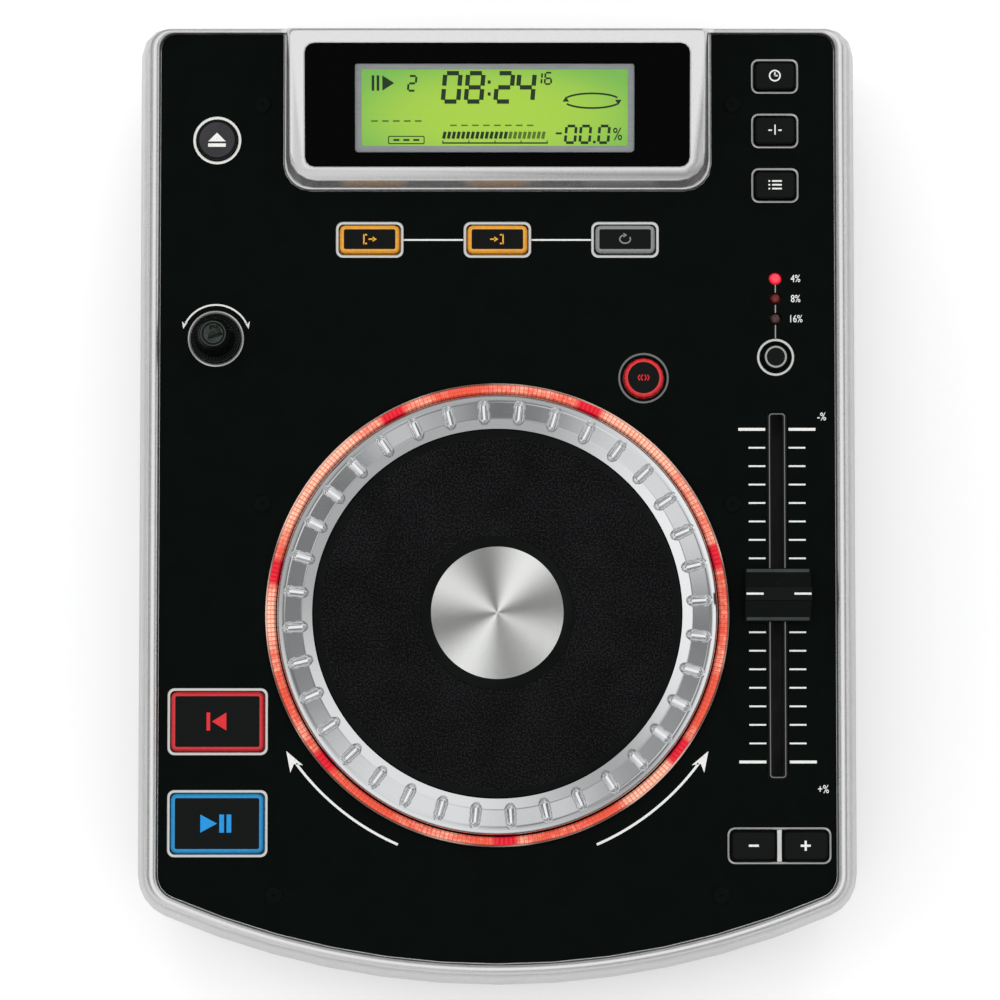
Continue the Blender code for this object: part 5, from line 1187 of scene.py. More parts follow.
@dataclass
class ButtonBank(Assembly):
    """The push buttons, their bezels and the signs on them.

    Attributes:
        top: Height of the caps.
        sign_rise: How far the signs stand above the caps.
        bezel_rise: Height of a bezel's edges over the faceplate.
        bezel_crown: How much higher its middle stands.
        bezel_gap: The gap between a cap and its bezel.
        bezel_width: The width of a rectangular bezel.
        lit_wider: How much wider the bezel of a lit cap is.
        lit_frame: Width of the lit frame round the dark window of a cap.
        window_depth: How far the dark window on a lit cap reaches down.
        bend_middle: The middle of the frame round both pitch bend caps.
        bend_frame: That frame's width and depth.
        bend_post: Width and depth of the bridge between these caps.
        eject: The eject button's place.
        search: The search button's place.
        pitch: The pitch range button's place.
        amber: The ink on the loop buttons.
        grey: The ink on the reloop button, and its cap.
        red: The ink on the cue and search buttons.
        blue: The ink on the play button.
    """

    top: float = 82.0
    sign_rise: float = 0.05
    bezel_rise: float = 0.45
    bezel_crown: float = 0.1
    bezel_gap: float = 0.5
    bezel_width: float = 0.58
    lit_wider: float = 0.2
    lit_frame: float = 1.15
    window_depth: float = 0.3
    bend_middle: Pair = (84.4, -69.2)
    bend_frame: Pair = (31.0, 10.9)
    bend_post: Pair = (1.5, 9.6)
    eject: Pair = (-84.6, 143.4)
    search: Pair = (44.0, 71.3)
    pitch: Pair = (83.8, 77.6)
    amber: Finish = Ink("amber_ink", (0.78, 0.36, 0.03), 0.5)
    grey: Finish = Ink("grey_ink", (0.22, 0.23, 0.23), 0.5)
    red: Finish = Ink("red_ink", (0.66, 0.02, 0.03), 0.5)
    blue: Finish = Ink("blue_ink", (0.01, 0.27, 0.66), 0.5)

    def keys(self) -> list[Key]:
        """The rectangular buttons, each with its place, sizes and sign."""
        mode, loop, deck, bend = (12.0, 8.3), (17.8, 8.3), (27.5, 17.5), (13.2, 8.7)
        white = Finishes.WHITE_INK
        return [
            Key("time_button", (83.8, 162.9), mode, Sign.CLOCK, white, False, 3.6),
            Key("single_button", (83.8, 146.3), mode, Sign.ONE, white, False, 3.2),
            Key("program_button", (83.8, 129.7), mode, Sign.LIST, white, False, 3.2),
            Key("loop_in_button", (-38.5, 113.2), loop, Sign.OPEN_BRACKET, self.amber, True, 3.1),
            Key("loop_out_button", (0.0, 113.2), loop, Sign.CLOSE_BRACKET, self.amber, True, 3.1),
            Key("reloop_button", (38.5, 113.2), loop, Sign.AGAIN, self.grey, True, 3.1),
            Key("cue_button", (-83.8, -32.1), deck, Sign.MARK, self.red, True, 5.4),
            Key("play_button", (-83.8, -62.6), deck, Sign.PLAY_PAUSE, self.blue, True, 5.4),
            Key("pitch_down_button", (76.65, -69.2), bend, Sign.MINUS, white, False, 3.0),
            Key("pitch_up_button", (92.15, -69.2), bend, Sign.PLUS, white, False, 3.0),
        ]

    def lamps(self) -> dict[str, LitLens]:
        """The lens of each lit cap, by its node."""
        places = {key.name: key.centre for key in self.keys()}
        places["search_button"] = self.search
        amber, red, blue = (0.66, 0.29, 0.02), (0.48, 0.012, 0.018), (0.005, 0.21, 0.46)
        table = {
            "loop_in_button": ("amber_cap_in", amber, 12.0),
            "loop_out_button": ("amber_cap_out", amber, 12.0),
            "cue_button": ("red_cap", red, 20.0),
            "play_button": ("blue_cap", blue, 20.0),
            "search_button": ("search_cap", (0.60, 0.015, 0.02), 9.0),
        }
        return {
            node: LitLens(name, colour, 0.35, colour, power=0.16, centre=places[node], reach=reach, fade=0.75)
            for node, (name, colour, reach) in table.items()
        }

    def build(self) -> list[Piece]:
        """Makes bezels, dark windows and signs."""
        pieces = []
        for key in self.keys():
            pieces += self._signed(key)
            if "pitch" not in key.name:
                pieces.append(self._bezel(key))
        pieces.append(self._bend_bezel())
        pieces.append(self._bend_post())
        pieces += self._round_buttons()
        return pieces

    def _signed(self, key: Key) -> list[Piece]:
        """The dark window, where the cap is lit, and the sign on it."""
        pieces, top = [], self.top
        if key.lit:
            outline = key.outline(-self.lit_frame, 0.5)
            window = Form().prism(outline, top - self.window_depth, top + self.sign_rise)
            pieces.append(window.piece(key.name + "_window", key.name, Finishes.CAP_BLACK))
            top += self.sign_rise
        drawer = SignDrawer(key.centre, key.sign_size, top - INK_ROOT, top + self.sign_rise)
        pieces.append(drawer.draw(key.sign).piece(key.name + "_sign", key.name, key.ink))
        return pieces

    def _bezel(self, key: Key) -> Piece:
        """A crowned silver frame round a cap."""
        inner, width = self.bezel_gap, self.bezel_width + (self.lit_wider if key.lit else 0.0)
        outlines = key.outline(inner + width, 2.1), key.outline(inner, 1.5)
        form = Form().frame(*outlines, BEZEL_LOW, PANEL_TOP + self.bezel_rise, self.bezel_crown)
        return form.piece(key.name + "_bezel", "player", Finishes.BEZEL)

    def _bend_bezel(self) -> Piece:
        """The one frame round both pitch bend caps."""
        outer = rounded(*self.bend_frame, 2.2, self.bend_middle)
        inner = rounded(*(size - 2 * self.bezel_width for size in self.bend_frame), 1.6, self.bend_middle)
        form = Form().frame(outer, inner, BEZEL_LOW, PANEL_TOP + self.bezel_rise, self.bezel_crown)
        return form.piece("pitch_bend_bezel", "player", Finishes.BEZEL)

    def _bend_post(self) -> Piece:
        """The grey bridge between the pitch bend caps."""
        outline = rounded(*self.bend_post, 0.2, self.bend_middle)
        form = Form().prism(outline, BEZEL_LOW, PANEL_TOP + self.bezel_rise)
        return form.piece("pitch_bend_post", "player", Finishes.BEZEL, edge=0.15)

    def _ring(self, name: str, centre: Pair, radii: Pair, finish: Finish, body: str = "player") -> Piece:
        """A crowned ring, low on the faceplate or flat on a cap.

        Args:
            name: The piece's name.
            centre: Its middle.
            radii: Its outer and inner radius.
            finish: Its finish.
            body: The body that carries it. Any but the player is a cap.

        Returns:
            The piece.
        """
        on_cap = body != "player"
        low = self.top - 0.1 if on_cap else BEZEL_LOW
        high = self.top + self.sign_rise if on_cap else PANEL_TOP + self.bezel_rise
        crown = 0.0 if on_cap else self.bezel_crown
        form = Form().frame(circle(radii[0], 40, centre), circle(radii[1], 40, centre), low, high, crown)
        return form.piece(name, body, finish)

    def _round_buttons(self) -> list[Piece]:
        """Eject, search and pitch range with their rings."""
        top, high = self.top, self.top + self.sign_rise
        dark = Form().prism(circle(4.75, 40, self.search), top - self.window_depth, high)
        eject = SignDrawer(self.eject, 4.3, top - INK_ROOT, high).draw(Sign.EJECT)
        seek = SignDrawer(self.search, 2.4, top, high + self.sign_rise).draw(Sign.SEEK)
        return [
            self._ring("eject_bezel", self.eject, (7.25, 6.4), Finishes.BRIGHT_BEZEL),
            # Painted shade: a black band on the eject cap's rim stands in for the dark gap round the cap.
            self._ring("eject_gap_shade_ring", self.eject, (6.05, 5.35), Finishes.CAP_BLACK, "eject_button"),
            eject.piece("eject_sign", "eject_button", Finishes.WHITE_INK),
            self._ring("search_bezel", self.search, (7.65, 7.0), Finishes.LAMP_RING),
            dark.piece("search_window", "search_button", Finishes.CAP_BLACK),
            seek.piece("search_sign", "search_button", self.red),
            self._ring("pitch_range_bezel", self.pitch, (5.6, 4.9), Finishes.BEZEL),
            self._ring("pitch_range_ring", self.pitch, (3.3, 2.75), Finishes.FAINT_INK, "pitch_range_button"),
        ]

    def dress(self) -> None:
        """Finishes the caps."""
        lamps = self.lamps()
        greys = {"eject_button": Finishes.GREY_CAP, "reloop_button": self.grey}
        names = [key.name for key in self.keys()] + ["eject_button", "search_button", "pitch_range_button"]
        for name in names:
            dress(name, lamps.get(name) or greys.get(name, Finishes.CAP_BLACK))


@dataclass
class Faceplate(Assembly):
    """The black faceplate, its printing and its screws.

    Attributes:
        screws: X and Y of the screws on the right.
        scan_radius: Radius of the two scan arrows.
        scan_angles: Where the left arrow begins and ends, in degrees.
        scan_width: Width of their lines.
        scan_head: Length and width of their arrowheads.
        scan_tip: How many degrees before the tip the line ends, how far the tip stands out, and the
            arrowhead's angle to the radius.
        knob_arc: Radius and both ends in degrees of the line behind the track knob.
        knob_tips: Where its two tips are and where they point, in degrees.
        knob_head: Length and width of its arrowheads.
        link: X of both ends of the right line between the loop buttons, and its Y.
        marks: How many marks the pitch scale has.
        scale_length: Its length.
        mark_start: How far from the middle each mark begins.
        end_mark: How far from the middle a mark at the ends reaches, and its width.
        plain_mark: The same for the marks between.
        figures: What is printed beside the lamps and the scale, its height and its middle.
        lamps: X of the range lamps, and Y from the one to the next.
        lamp_lines: Where the parts of the line through the lamps begin and end.
        screw: Radii and heights of a screw's head, over the faceplate.
        thin: Width of the thin printed lines.
    """

    screws: Pairs = ((71.0, 154.6), (70.7, 33.4), (67.0, -84.0))
    scan_radius: float = 75.0
    scan_angles: Pair = (212.9, 246.6)
    scan_width: float = 0.75
    scan_head: Pair = (6.2, 4.4)
    scan_tip: Point = (3.6, 0.3, 92.5)
    knob_arc: Point = (10.3, 27.0, 153.0)
    knob_tips: tuple[Pair, Pair] = ((17.0, -78.0), (163.0, 258.0))
    knob_head: Pair = (2.2, 1.7)
    link: Point = (28.4, 10.3, 113.2)
    marks: int = 19
    scale_length: float = 100.0
    mark_start: float = 3.5
    end_mark: Pair = (11.6, 0.85)
    plain_mark: Pair = (8.55, 0.5)
    figures: tuple[tuple[str, float, Pair], ...] = (
        ("4%", 2.3, (89.9, 101.4)),
        ("8%", 2.3, (89.9, 95.3)),
        ("16%", 2.3, (89.9, 89.2)),
        ("-%", 2.5, (97.6, 59.6)),
        ("+%", 2.5, (97.6, -52.4)),
    )
    lamps: tuple[float, tuple[float, ...]] = (83.8, (101.5, 95.4, 89.3))
    lamp_lines: Pairs = ((97.2, 99.6), (91.1, 93.5), (83.4, 87.4))
    screw: Pairs = ((2.75, -0.3), (2.75, 0.25), (2.3, 0.55), (1.2, 0.62))
    thin: float = 0.5

    def build(self) -> list[Piece]:
        """Makes the printing and the screws."""
        ink = Finishes.WHITE_INK
        return [
            self._scale().piece("pitch_scale", "player", ink),
            self._signs().piece("printed_numbers", "player", ink),
            self._scan_arrows().piece("scan_arrows", "player", ink),
            self._links().piece("loop_links", "player", ink),
            self._knob_arrow().piece("track_arrow", "player", ink),
            self._lamp_line().piece("lamp_line", "player", Finishes.FAINT_INK),
            self._screws().piece("faceplate_screws", "player", Finishes.SCREW, angle=25.0),
        ]

    def _scale(self) -> Form:
        """The marks on both sides of the fader."""
        form, (x, y) = Form(), FADER_MIDDLE
        pitch = self.scale_length / (self.marks - 1)
        for i in range(self.marks):
            reach, width = self.end_mark if i in (0, self.marks - 1) else self.plain_mark
            place = y - self.scale_length / 2 + i * pitch
            for side in (-1, 1):
                path = [(x + side * self.mark_start, place), (x + side * reach, place)]
                form.stroke(path, width, INK_LOW, INK_HIGH)
        return form

    def _signs(self) -> Form:
        """The pitch ranges by the lamps, and the signs at the ends of the scale."""
        form = Form()
        for text, size, middle in self.figures:
            form.lettered(text, size, middle, INK_LOW, INK_HIGH)
        return form

    def _arrow(self, form: Form, tip: Pair, angle: float, length: float, width: float) -> None:
        """A notched arrowhead.

        Args:
            form: The form that takes it in.
            tip: Its tip.
            angle: Where it points, in degrees.
            length: Its length.
            width: Its width.
        """
        c, s = math.cos(math.radians(angle)), math.sin(math.radians(angle))
        notch = 0.72 * length
        local = ((0.0, 0.0), (-length, width / 2), (-notch, 0.0), (-length, -width / 2))
        points = [(tip[0] + a * c - b * s, tip[1] + a * s + b * c) for a, b in local]
        form.prism(points, INK_LOW, INK_HIGH)

    def _scan_arrows(self) -> Form:
        """Two arcs in front of the wheel that end in arrowheads."""
        form, wheel = Form(), (0.0, 0.0)
        short, out, aim = self.scan_tip
        for turn in (1, -1):
            start, end = (angle if turn > 0 else 180 - angle for angle in self.scan_angles)
            path = arc(wheel, self.scan_radius, start + short * turn, end, 24)
            form.stroke(path, self.scan_width, INK_LOW, INK_HIGH)
            tip = polar(wheel, self.scan_radius + out, start)
            self._arrow(form, tip, start - aim * turn, *self.scan_head)
        return form

    def _links(self) -> Form:
        """The lines that join the three loop buttons."""
        form, (start, end, y) = Form(), self.link
        for side in (-1, 1):
            form.stroke([(side * start, y), (side * end, y)], self.thin, INK_LOW, INK_HIGH)
        return form

    def _knob_arrow(self) -> Form:
        """The two-ended arrow behind the track knob."""
        form = Form()
        form.stroke(arc(KNOB_AXIS, *self.knob_arc, 24), self.thin, INK_LOW, INK_HIGH)
        for angle, aim in self.knob_tips:
            self._arrow(form, polar(KNOB_AXIS, self.knob_arc[0], angle), aim, *self.knob_head)
        return form

    def _lamp_line(self) -> Form:
        """The thin line through the lamps to their button."""
        form, x = Form(), self.lamps[0]
        for low, high in self.lamp_lines:
            form.stroke([(x, low), (x, high)], 0.32, INK_LOW, INK_HIGH)
        return form

    def _screws(self) -> Form:
        """Low screw heads with a cross recess."""
        form = Form()
        for x, y in self.screws:
            for side in (-1, 1):
                centre = (side * x, y)
                form.capped([(r, PANEL_TOP + z) for r, z in self.screw], centre, 24)
                form.recess(centre, 1.15, 25.0, PANEL_TOP + 0.5, PANEL_TOP + 0.7)
        return form

    def dress(self) -> None:
        """Finishes the faceplate and the lamps."""
        dress("faceplate", Finishes.PANEL)
        looks = (
            ("lamp_lit", (0.9, 0.05, 0.07), 0.3, (1.0, 0.02, 0.06), 0.75),
            ("lamp_dim", (0.10, 0.006, 0.008), 0.25, (0.2, 0.0, 0.0), 0.06),
            ("lamp_off", (0.05, 0.02, 0.022), 0.25, (0.1, 0.01, 0.01), 0.04),
        )
        x, rows = self.lamps
        for number, (look, y) in enumerate(zip(looks, rows), start=1):
            dress(f"range_lamp_{number}", LitLens(*look, centre=(x, y), reach=2.5, fade=0.6))


@dataclass
class JogWheel(Assembly):
    """The jog wheel, the lit ring round it and the parts that carry it.

    Attributes:
        teeth: How many teeth stand round the lit ring.
        ring: Inner and outer radius of the lit ring.
        ring_low: The lit ring's lower height.
        ring_lip: Radii and heights of its outer lip, from below.
        tooth_tops: Height of a tooth's crest and of the gap between teeth.
        tooth_reach: Radius where a tooth begins, and how far it stays inside the ring's inner edge.
        tooth_fall: How much lower a tooth is at its inner end.
        ring_inner_top: Height of the ring's inner edge.
        cap_foot: Radii and heights of the spun cap's foot, from below.
        cap_top: Radius and height of its top.
        cap_chamfer: Height of the slope between them.
        turning: Width and depth of the rings turned into it.
        disc_edge: Radii and heights of the black disc's turned edge.
        collar: Radii and heights of the collar round the cap.
        rim: The rim's section: radius and height from its outer edge to its inner one.
        rim_foot: Height of the rim's underside at its outer and inner edge.
        outer_rows: Radii of the rim's rows of points outside the grooves.
        groove_rows: Radius before the rows across the grooves, their step and their number.
        inner_rows: Radii of the rows inside the grooves.
        row_turns: How far from a groove's middle the rim has sections, in degrees.
        row_between: How far from a groove's middle the section between two grooves is, in degrees.
        grooves: How many finger grooves the rim has.
        first_groove: The first groove's angle in degrees.
        groove_half: Half a groove's width.
        groove_ends: Radii of the middles of a groove's round ends.
        groove_floor: Height of the middle of a groove's floor.
    """

    LOOKS = {
        PebbleTop("pebbled_disc", (0.0016, 0.0016, 0.0018), 0.62): ("jog_disc",),
        SpunMetal("turned_steel", (0.70, 0.70, 0.71), 0.25): ("jog_shaft",),
        Finishes.STEEL: ("jog_encoder_disc",),
        Finishes.BRONZE: ("jog_bearing",),
        Finishes.MATT_BLACK: ("jog_tray",),
    }

    teeth: int = 320
    ring: Pair = (66.6, 69.6)
    ring_low: float = 78.0
    ring_lip: Pairs = ((69.6, 81.3), (69.5, 82.0), (69.3, 82.2), (69.15, 81.8))
    tooth_tops: Pair = (82.5, 81.95)
    tooth_reach: Pair = (68.9, 0.35)
    tooth_fall: float = 0.15
    ring_inner_top: float = 81.5
    cap_foot: Pairs = ((21.8, 90.05), (21.8, 90.3))
    cap_top: Pair = (19.75, 92.0)
    cap_chamfer: float = 0.5
    turning: Pair = (0.28, 0.05)
    disc_edge: Pairs = ((55.0, 88.6), (54.9, 89.05), (53.1, 90.02), (52.7, 90.06), (52.7, 88.6))
    collar: Pairs = ((22.9, 89.9), (22.75, 90.3), (22.2, 90.42), (19.9, 92.0), (19.7, 91.6))
    rim: Pairs = ((66.0, 83.9), (65.4, 84.5), (63.8, 85.4), (58.5, 86.6), (55.3, 88.7))
    rim_foot: Pair = (78.8, 84.4)
    outer_rows: tuple[float, ...] = (66.0, 65.4, 64.6, 64.0)
    groove_rows: tuple[float, float, int] = (63.8, 0.25, 29)
    inner_rows: tuple[float, ...] = (56.2, 55.8, 55.3)
    row_turns: tuple[float, ...] = (0.25, 0.5, 0.75, 0.95, 1.12, 1.27, 1.4, 1.49, 1.57, 1.75, 2.3, 3.6)
    row_between: float = 5.0
    grooves: int = 36
    first_groove: float = 3.8
    groove_half: float = 1.65
    groove_ends: Pair = (58.6, 62.4)
    groove_floor: float = 84.5

    def build(self) -> list[Piece]:
        """Makes the toothed ring, the grooved rim, the turned cap, and the disc's edge and collar."""
        lens = RingLight("ring_lens", (0.78, 0.13, 0.06), 0.3, teeth=self.teeth)
        ring = self._toothed_ring().piece("jog_light_ring_teeth", "player", lens, slot="red_lens", angle=20.0)
        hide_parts("jog_light_ring")
        silver, slot = Finishes.RIM_SILVER, "silver_plastic"
        rim = self._grooved_rim().piece("jog_rim_grooved", "jog_wheel", silver, slot=slot, angle=52.0)
        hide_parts("jog_rim")
        edge = Form().turned(self.disc_edge, steps=96)
        collar = Form().turned(self.collar, steps=96)
        metal = Lacquer("turned_metal", (0.86, 0.87, 0.85), 0.2, metallic=1.0, flake=0.04)
        cap = self._turned_cap().piece("jog_cap_turned", "jog_wheel", metal, slot="spun_metal", angle=12.0)
        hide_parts("jog_cap")
        return [
            ring,
            rim,
            cap,
            edge.piece("jog_disc_edge", "jog_wheel", Finishes.CAP_BLACK),
            collar.piece("jog_cap_collar", "jog_wheel", Finishes.CAP_BLACK),
        ]

    def _toothed_ring(self) -> Form:
        """A ring whose top rises and falls from tooth to tooth."""
        inner, outer = self.ring
        sections = []
        for i in range(2 * self.teeth):
            top = self.tooth_tops[i % 2]
            turn = math.pi * i / self.teeth
            c, s = math.cos(turn), math.sin(turn)
            profile = [
                (inner, self.ring_low),
                (outer, self.ring_low),
                *self.ring_lip,
                (self.tooth_reach[0], top),
                (inner + self.tooth_reach[1], top - self.tooth_fall),
                (inner, self.ring_inner_top),
            ]
            sections.append([(r * c, r * s, z) for r, z in profile])
        return Form().rings(sections, closed=True)

    def _turned_cap(self) -> Form:
        """The cap's top, with fine turned rings that spread the light along each radius."""
        radius, top = self.cap_top
        width, depth = self.turning
        profile = [*self.cap_foot, (radius, top - self.cap_chamfer), (radius, top - depth)]
        count = int(radius / width)
        for ring in range(count):
            outer = radius - ring * width
            profile += [(outer - width / 2, top), (outer - width * 0.96, top - depth)]
        return Form().capped(profile, steps=128)

    def _rim_height(self, radius: float, angle: float) -> float:
        """How high the rim stands at a point.

        Args:
            radius: The point's radius.
            angle: Its angle from the middle of the nearest groove, in radians.

        Returns:
            The height in millimetres.
        """
        for (outer, low), (inner, high) in zip(self.rim, self.rim[1:]):
            if radius >= inner:
                plain = low + (high - low) * (outer - radius) / (outer - inner)
                break
        across, along = radius * math.sin(angle), radius * math.cos(angle)
        first, last = self.groove_ends
        away = math.hypot(across, along - min(max(along, first), last))
        if away >= self.groove_half:
            return plain
        scoop = self.groove_half - math.sqrt(self.groove_half**2 - away**2)
        return min(plain, self.groove_floor + scoop * 0.9)

    def _grooved_rim(self) -> Form:
        """The rim with its scooped finger grooves."""
        offsets = [-turn for turn in reversed(self.row_turns)] + [0.0, *self.row_turns, self.row_between]
        start, step, count = self.groove_rows
        across = [start - step * i for i in range(1, count + 1)]
        radii = [*self.outer_rows, *across, *self.inner_rows]
        sections = []
        for groove in range(self.grooves):
            middle = math.radians(self.first_groove + groove * 360 / self.grooves)
            for offset in (math.radians(turn) for turn in offsets):
                c, s = math.cos(middle + offset), math.sin(middle + offset)
                section = [(radii[-1], self.rim_foot[1]), (radii[0], self.rim_foot[0])]
                section += [(r, self._rim_height(r, offset)) for r in radii]
                sections.append([(r * c, r * s, z) for r, z in section])
        return Form().rings(sections, closed=True)


@dataclass
class TrackKnob(Assembly):
    """The track knob, which turns and presses, and its switch below.

    Attributes:
        ring: Radii of the silver ring at its foot.
        ring_rise: How far the ring's edges stand above the faceplate, and its middle above them.
        face: Radii and heights of the pale disc on top, from below.
        waist: Radii and heights of the waist that the grip ribs follow.
        ribs: How many ribs there are.
        rib: A rib's section: how far out of the waist, and how far across.
    """

    LOOKS = {
        Finishes.CAP_BLACK: ("track_knob",),
        Finishes.STEEL: ("track_encoder_body",),
        Finishes.TIN: ("track_encoder_shaft",),
        Finishes.NATURAL: ("track_switch_plunger",),
    }

    ring: Pair = (8.45, 7.6)
    ring_rise: Pair = (0.3, 0.15)
    face: Pairs = ((3.75, 95.6), (3.75, 95.98), (2.9, 96.0))
    waist: Pairs = ((6.9, 83.6), (6.05, 84.6), (5.35, 90.0), (4.75, 93.6))
    ribs: int = 40
    rib: Pairs = ((-0.4, -0.16), (0.14, -0.09), (0.14, 0.09), (-0.4, 0.16))

    def build(self) -> list[Piece]:
        """Makes the ring, the pale top and the grip ribs."""
        rings = [circle(radius, 56, KNOB_AXIS) for radius in self.ring]
        rise, crown = self.ring_rise
        foot = Form().frame(*rings, BEZEL_LOW, PANEL_TOP + rise, crown)
        face = Form().capped(self.face, KNOB_AXIS)
        return [
            foot.piece("track_knob_ring", "player", Finishes.BEZEL),
            face.piece("track_knob_face", "track_knob", Finishes.KNOB_TOP_AND_HIGHLIGHT),
            self._ribs().piece("track_knob_ribs", "track_knob", Finishes.CAP_BLACK),
        ]

    def _ribs(self) -> Form:
        """Fine ribs on the sloping waist, from the skirt to the top."""
        form, (x, y) = Form(), KNOB_AXIS
        for i in range(self.ribs):
            turn = 2 * math.pi * i / self.ribs
            c, s = math.cos(turn), math.sin(turn)
            rings = []
            for radius, z in self.waist:
                corners = [(radius + out, across) for out, across in self.rib]
                rings.append([(x + r * c - w * s, y + r * s + w * c, z) for r, w in corners])
            form.rings(rings)
        return form


@dataclass
class PitchFader(Assembly):
    """The pitch fader with its slot.

    Attributes:
        top: Height of the cap's ridge.
        line: Where each white line on the ridge begins and ends, from the middle, and its width.
        slope: Distance from the middle and height of the cap's slope, from its edge to the ridge.
        grip: Half width and thickness of the grips on the slopes.
        bar: Half length and width of the pale bars of painted highlight, and their distance from the middle.
        bar_heights: Lower and upper height of the bars.
        lip: Width, length and corner radius of the slot's lip, outside and inside.
        lip_heights: Lower and upper height of the lip, and its crown.
    """

    LOOKS = {
        Finishes.CAP_BLACK: ("fader_cap",),
        Finishes.MATT_BLACK: ("fader_carriage", "fader_slot_trim"),
        Finishes.COATED: ("fader_body",),
    }

    top: float = 89.0
    line: Point = (4.6, 9.7, 0.62)
    slope: Pairs = ((7.75, 82.45), (7.2, 82.82), (4.0, 84.42), (1.94, 85.85))
    grip: Pair = (9.6, 0.3)
    bar: Point = (9.4, 1.1, 7.15)
    bar_heights: Pair = (82.6, 83.35)
    lip: tuple[Point, Point] = ((4.9, 109.6, 1.0), (4.2, 108.9, 0.7))
    lip_heights: Point = (80.45, 80.55, 0.05)

    def build(self) -> list[Piece]:
        """Makes the cap's lines, the grips on its slopes, the bars of painted highlight and the pale lip of
        the slot.
        """
        lines, grips, bars, (x, y) = Form(), Form(), Form(), FADER_MIDDLE
        lengthwise = Matrix(((0, 0, 1, 0), (1, 0, 0, 0), (0, 1, 0, 0), (0, 0, 0, 1)))
        start, end, line_width = self.line
        half, thickness = self.grip
        reach, bar_width, away = self.bar
        for side in (-1, 1):
            path = [(x + side * start, y), (x + side * end, y)]
            lines.stroke(path, line_width, self.top - INK_ROOT, self.top + 2 * INK_ROOT)
            under = [(y + side * place, height) for place, height in self.slope]
            over = [(place, height + thickness) for place, height in reversed(under)]
            outline = (under + over)[::-side]
            grips.with_form(Form().prism(outline, x - half, x + half).placed(lengthwise))
            # Pale bars near the cap's ends: painted highlights, where a sheen on the cap would show.
            row = y + side * away
            bars.stroke([(x - reach, row), (x + reach, row)], bar_width, *self.bar_heights)
        lip = Form().frame(*(rounded(*size, FADER_MIDDLE) for size in self.lip), *self.lip_heights)
        return [
            lines.piece("fader_cap_lines", "fader", Finishes.WHITE_INK),
            grips.piece("fader_cap_grips", "fader", Finishes.CAP_BLACK),
            bars.piece("fader_cap_highlight_bars", "fader", Finishes.KNOB_TOP_AND_HIGHLIGHT, edge=0.2),
            lip.piece("fader_trim_lip", "player", Finishes.LAMP_RING),
        ]


SEGMENTS = {
    "0": "abcdef",
    "1": "bc",
    "2": "abged",
    "3": "abgcd",
    "4": "fgbc",
    "5": "afgcd",
    "6": "afgedc",
    "7": "abc",
    "8": "abcdefg",
    "9": "abcdfg",
}


